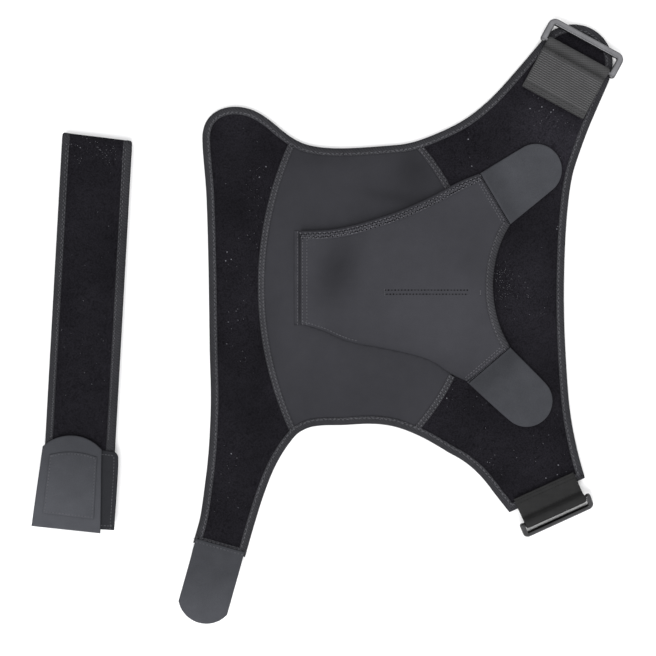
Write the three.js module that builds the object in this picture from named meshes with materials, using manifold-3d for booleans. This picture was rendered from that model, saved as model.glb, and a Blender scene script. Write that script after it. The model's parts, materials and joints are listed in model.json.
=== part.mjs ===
// A shoulder brace laid out flat, with its chest strap taken off and folded beside it.
// Millimetres, +Z up, seen from above as it lies. +X runs from the cuff to the back edge, +Y to the neck.
import * as THREE from "three";
import { mergeVertices } from "three/addons/utils/BufferGeometryUtils.js";
import Module from "manifold-3d";

const wasm = await Module();
wasm.setup();

// Driving dimensions: cloth
const CLEARANCE = 0.3; // between two pieces that touch
const PANEL_THICKNESS = 3; // padded main panels
const POCKET_THICKNESS = 2.5; // padded pocket panel
const TAB_THICKNESS = 2.1; // fastening tabs
const TAPE_THICKNESS = 0.6; // binding, hem and seam tapes
const BINDING_WIDTH = 5.8;
const SEAM_TAPE_WIDTH = 5;
const CUP_DEPTH = 15; // how far the shoulder cup stands up over the surface
const CUP_HALF_WIDTH = 116;
const CUP_HALF_HEIGHT = 96;
const CUP_PAST_UNDERARM = 38; // the cup's middle, across from the underarm
const MESH_CELL = 15; // spacing of the sheet's own grid
const OVERCUT = 1; // of a cutter past what it cuts

// Driving dimensions: outline of the brace, across from the cuff's edge and up from the underarm
const CUFF_TO_BACK = 255;
const CUFF_TO_NECK = 97;
const CUFF_TO_UNDERARM = 115;
const UNDERARM_TO_NECK = 199;
const CUFF_WAIST_UP = 15;
const BACK_WAIST_UP = 95;
const CROWN_OVER_NECK = 30;
const CROWN_ACROSS = 19.5;
const CUFF_CORNER_DROP = 21.5;
const CUFF_CORNER_OUT = 6;
const TAIL_WIDTH = 39;
const TAIL_DROP = 91;
const TAIL_ACROSS = 6;
const TAIL_TURN = -15.7; // degrees
const UPPER_ARM_WIDTH = 56.5;
const UPPER_ARM_ACROSS = 263;
const UPPER_ARM_OVER_NECK = 63;
const UPPER_ARM_TURN = -28.7; // degrees
const UPPER_ARM_END_BOW = 26.25; // of the arm's rounded end
const LOWER_ARM_WIDTH = 60;
const LOWER_ARM_ACROSS = 243;
const LOWER_ARM_DROP = 51.5;
const LOWER_ARM_TURN = 24.5; // degrees

// Driving dimensions: seams and pocket
const SEAM_REACH = 20; // of a seam's arc past the neck and the underarm, so that it cuts right through
const CUFF_SEAM_ACROSS = 67;
const CUFF_SEAM_BOW = 30.55;
const CHEST_SEAM_ACROSS = 131;
const CHEST_SEAM_BOW = 57;
const POCKET_LEFT = 64;
const POCKET_LEFT_FOOT = 71.5;
const POCKET_LEFT_HEIGHT = 67.5;
const POCKET_RIGHT = 215.5;
const POCKET_HOLLOW = 13;
const POCKET_HOLLOW_FOOT = 55.5;
const POCKET_HOLLOW_HEIGHT = 88;
const POCKET_TOP_INSET = 21.5;
const POCKET_TOP_RISE = 37;
const POCKET_BOTTOM_INSET = 30;
const POCKET_BOTTOM_DROP = 26;
const HEM_WIDTH = 6.6;
const SIDE_BAND_WIDTH = 3.8;
const POCKET_TAB_WIDTH = 37.5;
const UPPER_TAB_REACH = 36.5;
const UPPER_TAB_TURN = 35.5; // degrees
const LOWER_TAB_REACH = 37.5;
const LOWER_TAB_TURN = -43.5; // degrees
const CUFF_TAB_WIDTH = 36.5;
const CUFF_TAB_LENGTH = 55;
const CUFF_TAB_LAP = 4; // over the tail's end
const CUFF_TAB_ROUND = 11; // how far its end bulges
const CUFF_TAB_FALL = 16; // length over which it drops to the surface

// Driving dimensions: webbing and rings
const WEBBING_THICKNESS = 1.3;
const UPPER_WEBBING_WIDTH = 50;
const UPPER_WEBBING_LENGTH = 37.2;
const UPPER_RING_INSET = 23.85; // of the ring's covered bar from the arm's rounded end
const LOWER_WEBBING_WIDTH = 47;
const LOWER_WEBBING_LENGTH = 19.8;
const LOWER_RING_OFFSET = 11.9; // of the ring's covered bar from the arm's end line
const RING_SIDE_PLAY = 0.5;
const RING_THICKNESS = 3.5;
const UPPER_RING_BAR = 4.8;
const UPPER_RING_REACH = 17;
const LOWER_RING_BAR = 3.7;
const LOWER_RING_REACH = 11.5;
const RING_EDGE_ROUND = 0.6;
const RING_PIN_STEP = 0.05; // of the covered bar's surface inside the ring's faces
const RING_FILLET_SHARE = 1 / 3; // of the bar's width, at the slot's corners

// Driving dimensions: chest strap, placed from the same corner as the brace
const STRAP_WIDTH = 50;
const STRAP_THICKNESS = 2.5;
const STRAP_UPPER_LENGTH = 226;
const STRAP_LOWER_LENGTH = 283;
const STRAP_FOLD_ACROSS = -81.5;
const STRAP_FOLD_UP = 208;
const STRAP_LEAN = 3.2; // degrees
const FLAP_LENGTH = 66.5;
const FLAP_LEFT = 26; // from the strap's centre line
const FLAP_RIGHT = 16.5;
const FLAP_FLARE = 4.8; // how much further left its lower end reaches
const FLAP_ARCH = 9;
const FLAP_SLANT = 2.5; // of its lower edge
const PATCH_MARGIN = 5.5;
const PATCH_FOOT_MARGIN = 10;
const LOWER_FLAP_SHIFT = 3.4; // past the strap's right edge
const LOWER_FLAP_CORNER = 5;
const LOWER_FLAP_CORNER_BOW = 1.5;

// Levels over the sheet's own surface
const PANEL_LOW = TAPE_THICKNESS + CLEARANCE;
const PANEL_TOP = PANEL_LOW + PANEL_THICKNESS;
const BINDING_TOP = PANEL_TOP + CLEARANCE + TAPE_THICKNESS;
const ON_PANEL = PANEL_TOP + CLEARANCE;
const ON_BINDING = BINDING_TOP + CLEARANCE;
const POCKET_LOW = ON_PANEL + TAPE_THICKNESS + CLEARANCE;
const POCKET_TOP = POCKET_LOW + POCKET_THICKNESS;

const point = (x, y) => new THREE.Vector2(x, y);
const radians = THREE.MathUtils.degToRad;
const HALF_TURN = 180; // degrees
const heading = (degrees) => point(Math.cos(radians(degrees)), Math.sin(radians(degrees)));

// The hand-drawn run of an edge: each row is a share of the way across and up from one corner to the next.
const CUFF_TAIL_RUN = [
  { across: 0.38, up: 0.17 },
  { across: 0.63, up: 0.38 },
  { across: 0.86, up: 0.63 },
];
const CUFF_SIDE_RUN = [
  { across: 0.13, up: 0.2 },
  { across: 0.27, up: 0.5 },
  { across: 0.53, up: 0.78 },
];
const CUFF_CORNER_RUN = [
  { across: 0.06, up: 0.4 },
  { across: 0.28, up: 0.75 },
  { across: 0.6, up: 0.95 },
];
const CROWN_RUN = [
  { across: 0.16, up: 0.1 },
  { across: 0.3, up: 0.33 },
  { across: 0.49, up: 0.72 },
  { across: 0.63, up: 0.9 },
  { across: 0.79, up: 0.98 },
];
const NECK_RUN = [
  { across: 0.18, up: 0.02 },
  { across: 0.33, up: 0.05 },
  { across: 0.47, up: 0.14 },
  { across: 0.61, up: 0.27 },
  { across: 0.74, up: 0.46 },
  { across: 0.87, up: 0.72 },
];
const BACK_UPPER_RUN = [
  { across: 0.22, up: 0.11 },
  { across: 0.46, up: 0.23 },
  { across: 0.65, up: 0.34 },
  { across: 0.81, up: 0.45 },
  { across: 0.93, up: 0.64 },
];
const BACK_LOWER_RUN = [
  { across: 0.12, up: 0.4 },
  { across: 0.33, up: 0.67 },
  { across: 0.7, up: 0.88 },
];
const UNDERARM_RUN = [
  { across: 0.1, up: 0.2 },
  { across: 0.2, up: 0.4 },
  { across: 0.32, up: 0.57 },
  { across: 0.43, up: 0.67 },
  { across: 0.58, up: 0.81 },
  { across: 0.73, up: 0.92 },
  { across: 0.86, up: 0.98 },
];
const TAIL_INNER_RUN = [
  { across: 0.22, up: 0.01 },
  { across: 0.45, up: 0.02 },
  { across: 0.56, up: 0.06 },
  { across: 0.65, up: 0.15 },
  { across: 0.76, up: 0.32 },
  { across: 0.85, up: 0.53 },
  { across: 0.94, up: 0.8 },
];
const POCKET_TOP_RUN = [
  { across: 0.2, up: 0.03 },
  { across: 0.39, up: 0.17 },
  { across: 0.56, up: 0.35 },
  { across: 0.73, up: 0.59 },
  { across: 0.89, up: 0.86 },
];
const POCKET_BOTTOM_RUN = [
  { across: 0.1, up: 0.13 },
  { across: 0.23, up: 0.37 },
  { across: 0.38, up: 0.5 },
  { across: 0.55, up: 0.6 },
  { across: 0.72, up: 0.7 },
  { across: 0.88, up: 0.9 },
];

/** The points of a run between two corners, without the first corner. */
function runPoints(from, to, rows) {
  const between = rows.map(({ across, up }) =>
    point(from.x + (to.x - from.x) * across, from.y + (to.y - from.y) * up),
  );
  return [...between, to];
}

/** Even steps along a smooth curve through points, first and last included. */
function smooth(points, step) {
  const curve = new THREE.CatmullRomCurve3(
    points.map((p) => new THREE.Vector3(p.x, p.y, 0)),
    false,
    "centripetal",
  );
  const count = Math.max(2, Math.round(curve.getLength() / step));
  return curve.getSpacedPoints(count).map((p) => point(p.x, p.y));
}

/** A circular arc from one point to another that bulges to the left of the way by bow. */
function arc(from, to, bow, step) {
  const chord = to.clone().sub(from);
  const half = chord.length() / 2;
  const side = point(-chord.y, chord.x).normalize();
  const radius = (half * half + bow * bow) / (2 * Math.abs(bow));
  const centre = from.clone().add(to).multiplyScalar(0.5);
  centre.addScaledVector(side, Math.sign(bow) * (Math.abs(bow) - radius));
  const start = Math.atan2(from.y - centre.y, from.x - centre.x);
  let sweep = Math.atan2(to.y - centre.y, to.x - centre.x) - start;
  if (bow > 0 && sweep > 0) sweep -= 2 * Math.PI;
  if (bow < 0 && sweep < 0) sweep += 2 * Math.PI;
  const count = Math.max(3, Math.round((Math.abs(sweep) * radius) / step));
  return Array.from({ length: count + 1 }, (_, i) => {
    const angle = start + (sweep * i) / count;
    return point(centre.x + radius * Math.cos(angle), centre.y + radius * Math.sin(angle));
  });
}

/** Twice the signed area of a loop, positive when it runs counter-clockwise. */
function turning(loop) {
  return loop.reduce((sum, p, i) => {
    const next = loop[(i + 1) % loop.length];
    return sum + p.x * next.y - next.x * p.y;
  }, 0);
}

/** A closed loop moved inwards by a distance, mitred at its corners. */
function inset(loop, distance) {
  const inward = Math.sign(turning(loop));
  return loop.map((p, i) => {
    const before = loop[(i + loop.length - 1) % loop.length];
    const after = loop[(i + 1) % loop.length];
    const a = p.clone().sub(before).normalize();
    const b = after.clone().sub(p).normalize();
    const normal = point(-a.y - b.y, a.x + b.x).normalize();
    const mitre = Math.max(normal.dot(point(-a.y, a.x)), 0.5);
    return p.clone().addScaledVector(normal, (inward * distance) / mitre);
  });
}

/** A line drawn on straight past both its ends. */
function drawnOn(line, reach) {
  const past = (end, before) => end.clone().sub(before).setLength(reach).add(end);
  return [past(line[0], line[1]), ...line, past(line[line.length - 1], line[line.length - 2])];
}

/** A strip along an open line, from near to far on its left side, as a closed loop. */
function strip(line, near, far) {
  const shifted = (distance) =>
    line.map((p, i) => {
      const before = line[Math.max(i - 1, 0)];
      const after = line[Math.min(i + 1, line.length - 1)];
      const way = after.clone().sub(before).normalize();
      return p.clone().add(point(-way.y, way.x).multiplyScalar(distance));
    });
  return [...shifted(near), ...shifted(far).reverse()];
}

/** A geometry as a solid that can be joined and cut. */
function solidOf(geometry) {
  const bare = geometry.clone();
  bare.deleteAttribute("normal");
  bare.deleteAttribute("uv");
  const merged = mergeVertices(bare, 1e-4);
  return new wasm.Manifold(
    new wasm.Mesh({
      numProp: 3,
      vertProperties: new Float32Array(merged.attributes.position.array),
      triVerts: new Uint32Array(merged.index.array),
    }),
  );
}

/** A joined or cut solid as a geometry. */
function geometryOf(solid) {
  const mesh = solid.getMesh();
  return new THREE.BufferGeometry()
    .setAttribute("position", new THREE.BufferAttribute(new Float32Array(mesh.vertProperties), 3))
    .setIndex(new THREE.BufferAttribute(new Uint32Array(mesh.triVerts), 1));
}

/** An upright prism on a closed loop. */
function prism(loop, low, high) {
  const geometry = new THREE.ExtrudeGeometry(new THREE.Shape(loop), {
    depth: high - low,
    bevelEnabled: false,
    steps: 1,
  });
  return solidOf(geometry.translate(0, 0, low));
}

/** How far the sheet's surface stands over the table: the shoulder cup, flat all round. */
function cupHeight(x, y) {
  const away = Math.hypot((x - CUP_CENTRE.x) / CUP_HALF_WIDTH, (y - CUP_CENTRE.y) / CUP_HALF_HEIGHT);
  return away < 1 ? (CUP_DEPTH * (1 + Math.cos(Math.PI * away))) / 2 : 0;
}

/** The grid lines of a sheet along one axis: its two ends, with even lines only where the cup bends it. */
function gridLines(low, high, centre, reach) {
  const first = Math.max(Math.floor(low / MESH_CELL), Math.floor((centre - reach) / MESH_CELL));
  const last = Math.min(Math.ceil(high / MESH_CELL), Math.ceil((centre + reach) / MESH_CELL));
  const lines = [];
  for (let i = first; i <= last; i++) lines.push(i * MESH_CELL);
  if (low < lines[0]) lines.unshift(low - OVERCUT);
  if (high > lines[lines.length - 1]) lines.push(high + OVERCUT);
  return lines;
}

/** A slab between two levels, with its vertices on given lines, over a surface that follows height(x, y). */
function slab(across, up, low, high, height) {
  const sheet = new THREE.BoxGeometry(1, 1, 1, across.length - 1, up.length - 1, 1);
  const position = sheet.attributes.position;
  for (let i = 0; i < position.count; i++) {
    const x = across[Math.round((position.getX(i) + 0.5) * (across.length - 1))];
    const y = up[Math.round((position.getY(i) + 0.5) * (up.length - 1))];
    position.setXYZ(i, x, y, height(x, y) + (position.getZ(i) < 0 ? low : high));
  }
  // The underside's quads are split along the same diagonals as those on top
  const under = sheet.groups[5];
  const index = sheet.index.array;
  for (let i = under.start; i < under.start + under.count; i += 6) {
    const [a, b, d, , c] = index.slice(i, i + 6);
    index.set([a, b, c, a, c, d], i);
  }
  return solidOf(sheet);
}

/** A cloth layer on a closed loop, between two levels over the sheet's surface. */
function layer(loop, low, high) {
  const box = new THREE.Box2().setFromPoints(loop);
  const across = gridLines(box.min.x, box.max.x, CUP_CENTRE.x, CUP_HALF_WIDTH);
  const up = gridLines(box.min.y, box.max.y, CUP_CENTRE.y, CUP_HALF_HEIGHT);
  return slab(across, up, low, high, cupHeight).intersect(prism(loop, low - OVERCUT, high + CUP_DEPTH + OVERCUT));
}

/** A tape folded round the edge of a layer: region is the tape's width, core is where the layer runs in. */
function foldedTape(region, core, low, high) {
  return layer(region, low, high).subtract(
    layer(core, low + TAPE_THICKNESS, high - TAPE_THICKNESS),
  );
}

// The outline of the brace, counter-clockwise from the tail's outer corner
const EDGE_STEP = 9;
const CUP_CENTRE = point(CUFF_TO_UNDERARM + CUP_PAST_UNDERARM, UNDERARM_TO_NECK / 2);
const tailWay = heading(TAIL_TURN);
const tailEnd = point(TAIL_ACROSS, -TAIL_DROP);
const tailOuter = tailEnd.clone().addScaledVector(tailWay, -TAIL_WIDTH / 2);
const tailInner = tailEnd.clone().addScaledVector(tailWay, TAIL_WIDTH / 2);
const cuffWaist = point(0, CUFF_WAIST_UP);
const crown = point(CROWN_ACROSS, UNDERARM_TO_NECK + CROWN_OVER_NECK);
const cuffCorner = point(-CUFF_CORNER_OUT, crown.y - CUFF_CORNER_DROP);
const neck = point(CUFF_TO_NECK, UNDERARM_TO_NECK);
const upperWay = heading(UPPER_ARM_TURN);
const upperOut = point(-upperWay.y, upperWay.x);
const upperEnd = point(UPPER_ARM_ACROSS, UNDERARM_TO_NECK + UPPER_ARM_OVER_NECK);
const upperLeft = upperEnd.clone().addScaledVector(upperWay, -UPPER_ARM_WIDTH / 2);
const upperRight = upperEnd.clone().addScaledVector(upperWay, UPPER_ARM_WIDTH / 2);
const backWaist = point(CUFF_TO_BACK, BACK_WAIST_UP);
const lowerWay = heading(LOWER_ARM_TURN);
const lowerOut = point(lowerWay.y, -lowerWay.x);
const lowerEnd = point(LOWER_ARM_ACROSS, -LOWER_ARM_DROP);
const lowerLeft = lowerEnd.clone().addScaledVector(lowerWay, -LOWER_ARM_WIDTH / 2);
const lowerRight = lowerEnd.clone().addScaledVector(lowerWay, LOWER_ARM_WIDTH / 2);
const underarm = point(CUFF_TO_UNDERARM, 0);

const cuffSide = smooth(
  [
    tailOuter,
    ...runPoints(tailOuter, cuffWaist, CUFF_TAIL_RUN),
    ...runPoints(cuffWaist, cuffCorner, CUFF_SIDE_RUN),
    ...runPoints(cuffCorner, crown, CUFF_CORNER_RUN),
    ...runPoints(crown, neck, CROWN_RUN),
    ...runPoints(neck, upperLeft, NECK_RUN),
  ],
  EDGE_STEP,
);
const armEnd = arc(upperLeft, upperRight, UPPER_ARM_END_BOW, EDGE_STEP);
const backSide = smooth(
  [
    upperRight,
    ...runPoints(upperRight, backWaist, BACK_UPPER_RUN),
    ...runPoints(backWaist, lowerRight, BACK_LOWER_RUN),
  ],
  EDGE_STEP,
);
const underSide = smooth(
  [
    lowerLeft,
    ...runPoints(lowerLeft, underarm, UNDERARM_RUN),
    ...runPoints(underarm, tailInner, TAIL_INNER_RUN),
  ],
  EDGE_STEP,
);
const outline = [
  ...cuffSide,
  ...armEnd.slice(1, -1),
  ...backSide,
  ...underSide,
].reverse();

// Main panels, parted along the two seams
const cuffSeam = arc(
  point(CUFF_SEAM_ACROSS, -SEAM_REACH),
  point(CUFF_SEAM_ACROSS, UNDERARM_TO_NECK + SEAM_REACH),
  CUFF_SEAM_BOW,
  MESH_CELL,
);
const chestSeam = arc(
  point(CHEST_SEAM_ACROSS, -SEAM_REACH),
  point(CHEST_SEAM_ACROSS, UNDERARM_TO_NECK + SEAM_REACH),
  -CHEST_SEAM_BOW,
  MESH_CELL,
);
const farAway = CUFF_TO_BACK + UNDERARM_TO_NECK + UPPER_ARM_ACROSS; // well past every edge
const leftOfSeam = (seam, gap) => [
  point(-farAway, farAway),
  point(-farAway, -farAway),
  point(seam[0].x, -farAway),
  ...seam.map((p) => point(p.x - gap, p.y)),
  point(seam[seam.length - 1].x, farAway),
];
const panelSheet = layer(inset(outline, TAPE_THICKNESS + CLEARANCE), PANEL_LOW, PANEL_TOP);
const cut = (loop) => prism(loop, -OVERCUT, CUP_DEPTH + POCKET_TOP + OVERCUT);
const cuffPanel = panelSheet.intersect(cut(leftOfSeam(cuffSeam, CLEARANCE / 2)));
const leftOfChest = cut(leftOfSeam(chestSeam, CLEARANCE / 2));
const centrePanel = panelSheet
  .intersect(leftOfChest)
  .subtract(cut(leftOfSeam(cuffSeam, -CLEARANCE / 2)));
const chestPanel = panelSheet.subtract(cut(leftOfSeam(chestSeam, -CLEARANCE / 2)));

const edgeBinding = layer(outline, 0, BINDING_TOP)
  .subtract(cut(inset(outline, BINDING_WIDTH)))
  .subtract(layer(inset(outline, TAPE_THICKNESS), TAPE_THICKNESS, BINDING_TOP - TAPE_THICKNESS));

const insideBinding = cut(inset(outline, BINDING_WIDTH + CLEARANCE));
const seamTape = (seam) =>
  layer(
    strip(seam, -SEAM_TAPE_WIDTH / 2, SEAM_TAPE_WIDTH / 2),
    ON_PANEL,
    ON_PANEL + TAPE_THICKNESS,
  ).intersect(insideBinding);

// Pocket over the cup
const pocketTopLeft = point(POCKET_LEFT, POCKET_LEFT_FOOT + POCKET_LEFT_HEIGHT);
const pocketBottomLeft = point(POCKET_LEFT, POCKET_LEFT_FOOT);
const hollowTop = point(POCKET_RIGHT, POCKET_HOLLOW_FOOT + POCKET_HOLLOW_HEIGHT);
const hollowFoot = point(POCKET_RIGHT, POCKET_HOLLOW_FOOT);
const pocketTopRight = point(POCKET_RIGHT - POCKET_TOP_INSET, hollowTop.y + POCKET_TOP_RISE);
const pocketBottomRight = point(POCKET_RIGHT - POCKET_BOTTOM_INSET, hollowFoot.y - POCKET_BOTTOM_DROP);
const pocketTopLine = smooth(
  [pocketTopLeft, ...runPoints(pocketTopLeft, pocketTopRight, POCKET_TOP_RUN)],
  EDGE_STEP,
);
const hollowLine = arc(hollowTop, hollowFoot, -POCKET_HOLLOW, EDGE_STEP);
const pocketBottomLine = smooth(
  [pocketBottomRight, ...runPoints(pocketBottomRight, pocketBottomLeft, POCKET_BOTTOM_RUN)],
  EDGE_STEP,
);
const pocketLoop = [...pocketTopLine, ...hollowLine, ...pocketBottomLine].reverse();
const pocketCore = inset(pocketLoop, TAPE_THICKNESS + CLEARANCE);
const TAPE_LOW = POCKET_LOW - CLEARANCE - TAPE_THICKNESS;
const TAPE_HIGH = POCKET_TOP + CLEARANCE + TAPE_THICKNESS;
const pocketEdge = (line, width) => {
  const core = strip(drawnOn(line, OVERCUT), -width - OVERCUT, -TAPE_THICKNESS);
  return foldedTape(strip(line, -width, 0), core, TAPE_LOW, TAPE_HIGH);
};
const without = (solid, loop) => solid.subtract(cut(inset(loop, -CLEARANCE)));

// The chest seam's tape runs in under the pocket's edges, and stops there
const acrossBrace = (low, high) => [
  point(-farAway, low),
  point(farAway, low),
  point(farAway, high),
  point(-farAway, high),
];
const aboveCup = acrossBrace(CUP_CENTRE.y, farAway);
const belowCup = acrossBrace(-farAway, CUP_CENTRE.y);
const chestSeamTape = (side) => without(seamTape(chestSeam), pocketLoop).intersect(cut(side));

/** A fastening tab: from its root corners to a half-round end. */
function tabLoop(rootLeft, rootRight, turn, width, reach) {
  const way = heading(turn);
  const left = point(-way.y, way.x).multiplyScalar(width / 2);
  const centre = rootLeft.clone().add(rootRight).multiplyScalar(0.5).addScaledVector(way, reach);
  const end = arc(centre.clone().add(left), centre.clone().sub(left), width / 2, EDGE_STEP / 2);
  return [rootLeft, ...end, rootRight];
}

const upperTab = tabLoop(pocketTopRight, hollowTop, UPPER_TAB_TURN, POCKET_TAB_WIDTH, UPPER_TAB_REACH);
const lowerTab = tabLoop(hollowFoot, pocketBottomRight, LOWER_TAB_TURN, POCKET_TAB_WIDTH, LOWER_TAB_REACH);
const pocketTab = (loop) => layer(loop, ON_PANEL, ON_PANEL + TAB_THICKNESS);
const pocketHem = pocketEdge(pocketTopLine, HEM_WIDTH);
const pocketBinding = pocketEdge(hollowLine, BINDING_WIDTH);
const sideBand = strip([pocketBottomLeft, pocketTopLeft], CLEARANCE, SIDE_BAND_WIDTH);

// Frames at the ends of the arms and the tail: x along the end, y out of it
/** Puts pieces in a frame whose x axis is turned by some degrees. */
function framed(origin, turn, ...pieces) {
  const frame = new THREE.Group();
  frame.position.set(origin.x, origin.y, 0);
  frame.rotation.z = radians(turn);
  frame.add(...pieces);
  return frame;
}

/** A profile of out and up, drawn out along the end's own x axis from one place to another. */
function drawnOut(profile, from, to) {
  const geometry = new THREE.ExtrudeGeometry(profile, {
    depth: to - from,
    bevelEnabled: false,
    curveSegments: 8,
  });
  geometry.translate(0, 0, from);
  const turned = new THREE.Matrix4().makeBasis(
    new THREE.Vector3(0, 1, 0),
    new THREE.Vector3(0, 0, 1),
    new THREE.Vector3(1, 0, 0),
  );
  return geometry.applyMatrix4(turned);
}

// The fastening tab at the tail's end: it laps the binding and drops to the table
function cuffTab() {
  const half = CUFF_TAB_WIDTH / 2;
  const shoulder = -(CUFF_TAB_LENGTH - CUFF_TAB_ROUND);
  const end = arc(point(half, shoulder), point(-half, shoulder), CUFF_TAB_ROUND, EDGE_STEP / 2);
  const loop = [point(-half, CUFF_TAB_LAP), point(half, CUFF_TAB_LAP), ...end];
  const fallen = (x, y) =>
    ON_BINDING * (1 - THREE.MathUtils.smoothstep(-y, CLEARANCE, CLEARANCE + CUFF_TAB_FALL));
  const fallSteps = 6;
  const up = [-CUFF_TAB_LENGTH - OVERCUT];
  for (let i = fallSteps; i >= 0; i--) up.push(-CLEARANCE - (CUFF_TAB_FALL * i) / fallSteps);
  up.push(CUFF_TAB_LAP + OVERCUT);
  return slab([-half - OVERCUT, half + OVERCUT], up, 0, TAB_THICKNESS, fallen).intersect(
    prism(loop, -OVERCUT, ON_BINDING + TAB_THICKNESS + OVERCUT),
  );
}

// Webbing and ring: the ring's covered bar runs in the webbing's loop
const RING_PIN_RADIUS = RING_THICKNESS / 2 - RING_PIN_STEP;
const LOOP_HOLE = RING_PIN_RADIUS + CLEARANCE;
const LOOP_RADIUS = LOOP_HOLE + WEBBING_THICKNESS;
const RING_AXIS_UP = ON_BINDING + LOOP_RADIUS;

/** The webbing seen from its side: a doubled tail with a loop round the bar. */
function webbing(width, length) {
  const tailTop = 2 * WEBBING_THICKNESS - LOOP_RADIUS;
  const meet = Math.PI - Math.asin(tailTop / LOOP_RADIUS);
  const profile = new THREE.Shape();
  profile.moveTo(-length, -LOOP_RADIUS);
  profile.lineTo(0, -LOOP_RADIUS);
  profile.absarc(0, 0, LOOP_RADIUS, -Math.PI / 2, meet, false);
  profile.lineTo(-length, tailTop);
  profile.closePath();
  profile.holes.push(new THREE.Path().absarc(0, 0, LOOP_HOLE, 0, 2 * Math.PI, true));
  return drawnOut(profile, -width / 2, width / 2).translate(0, 0, RING_AXIS_UP);
}

/** A rectangular strap ring about its covered bar, which is round; the others are flat with soft edges. */
function ring(width, bar, reach) {
  const inner = width / 2 + RING_SIDE_PLAY;
  const outer = inner + bar;
  const round = bar;
  const fillet = bar * RING_FILLET_SHARE;
  const shape = new THREE.Shape();
  shape.moveTo(-outer, 0);
  shape.lineTo(-outer, reach - round);
  shape.absarc(-outer + round, reach - round, round, Math.PI, Math.PI / 2, true);
  shape.lineTo(outer - round, reach);
  shape.absarc(outer - round, reach - round, round, Math.PI / 2, 0, true);
  shape.lineTo(outer, 0);
  shape.absarc(outer - bar / 2, 0, bar / 2, 0, -Math.PI, true);
  shape.lineTo(inner, reach - bar - fillet);
  shape.absarc(inner - fillet, reach - bar - fillet, fillet, 0, Math.PI / 2, false);
  shape.lineTo(fillet - inner, reach - bar);
  shape.absarc(fillet - inner, reach - bar - fillet, fillet, Math.PI / 2, Math.PI, false);
  shape.lineTo(-inner, 0);
  shape.absarc(-inner - bar / 2, 0, bar / 2, 0, -Math.PI, true);
  const frame = new THREE.ExtrudeGeometry(shape, {
    depth: RING_THICKNESS - 2 * RING_EDGE_ROUND,
    bevelThickness: RING_EDGE_ROUND,
    bevelSize: RING_EDGE_ROUND,
    bevelOffset: -RING_EDGE_ROUND,
    bevelSegments: 2,
    curveSegments: 5,
  });
  frame.translate(0, 0, RING_EDGE_ROUND - RING_THICKNESS / 2);
  const pin = new THREE.CylinderGeometry(RING_PIN_RADIUS, RING_PIN_RADIUS, 2 * inner + bar, 12);
  return solidOf(frame).add(solidOf(pin.rotateZ(Math.PI / 2)));
}

/** How far a ring tips down until its far bar rests at a level. */
const ringTip = (reach, level) => Math.asin((RING_AXIS_UP - RING_THICKNESS / 2 - level) / reach);

/** Seats a ring in its loop, tipped down by an angle. */
function seated(piece, tip) {
  piece.position.z = RING_AXIS_UP;
  piece.rotation.x = -tip;
  return piece;
}

// Chest strap: one sheet folded in half, its folded edges in tape, and the flaps of its two ends
const STRAP_BOUND = STRAP_THICKNESS + 2 * (TAPE_THICKNESS + CLEARANCE);
const FOLD_MIDDLE = STRAP_BOUND + CLEARANCE / 2;

/** The folded strap seen from its side, with its layers between two distances from the fold's middle. */
function hairpin(near, far, upperLength, lowerLength) {
  const profile = new THREE.Shape();
  profile.moveTo(-lowerLength, -far);
  profile.lineTo(-FOLD_MIDDLE, -far);
  profile.absarc(-FOLD_MIDDLE, 0, far, -Math.PI / 2, Math.PI / 2, false);
  profile.lineTo(-upperLength, far);
  profile.lineTo(-upperLength, near);
  profile.lineTo(-FOLD_MIDDLE, near);
  profile.absarc(-FOLD_MIDDLE, 0, near, Math.PI / 2, -Math.PI / 2, true);
  profile.lineTo(-lowerLength, -near);
  return profile;
}

/** A stretch of the folded strap across its width. */
function strapLayers(margin, from, to, past = 0) {
  const near = CLEARANCE / 2 + margin;
  const far = FOLD_MIDDLE - margin;
  const profile = hairpin(near, far, STRAP_UPPER_LENGTH + past, STRAP_LOWER_LENGTH + past);
  return solidOf(drawnOut(profile, from, to).translate(0, 0, FOLD_MIDDLE));
}

const strapHalf = STRAP_WIDTH / 2;
const strapCore = strapHalf - TAPE_THICKNESS - CLEARANCE;
const strapSheet = strapLayers(TAPE_THICKNESS + CLEARANCE, -strapCore, strapCore);
const strapTape = (outer, inner) =>
  strapLayers(0, Math.min(outer, inner), Math.max(outer, inner)).subtract(
    strapLayers(
      TAPE_THICKNESS,
      Math.min(outer - Math.sign(outer) * TAPE_THICKNESS, inner - Math.sign(outer)),
      Math.max(outer - Math.sign(outer) * TAPE_THICKNESS, inner - Math.sign(outer)),
      1,
    ),
  );
const strapInner = strapHalf - BINDING_WIDTH;
const STRAP_TOP = 2 * FOLD_MIDDLE;
const FLAP_LOW = STRAP_TOP + CLEARANCE;
const PATCH_LOW = FLAP_LOW + TAB_THICKNESS + CLEARANCE;
const strapFoot = -STRAP_LOWER_LENGTH;
const flapShoulder = strapFoot + FLAP_LENGTH - FLAP_ARCH;
const flapTop = arc(
  point(-FLAP_LEFT, flapShoulder),
  point(FLAP_RIGHT, flapShoulder),
  FLAP_ARCH,
  EDGE_STEP / 2,
);
const upperFlap = [
  ...flapTop,
  point(FLAP_RIGHT + FLAP_FLARE / 2, strapFoot - FLAP_SLANT),
  point(-FLAP_LEFT - FLAP_FLARE, strapFoot),
];
const patchTop = arc(
  point(-FLAP_LEFT + PATCH_MARGIN, flapShoulder - PATCH_MARGIN),
  point(FLAP_RIGHT - PATCH_MARGIN / 2, flapShoulder - PATCH_MARGIN),
  PATCH_MARGIN / 2,
  EDGE_STEP,
);
const patchFoot = strapFoot + PATCH_FOOT_MARGIN;
const hookPatch = [
  ...patchTop,
  point(FLAP_RIGHT - PATCH_MARGIN / 2, patchFoot - FLAP_SLANT),
  point(-FLAP_LEFT + PATCH_MARGIN - FLAP_SLANT, patchFoot),
];
const lowerFlapTop = -STRAP_UPPER_LENGTH - CLEARANCE;
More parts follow.
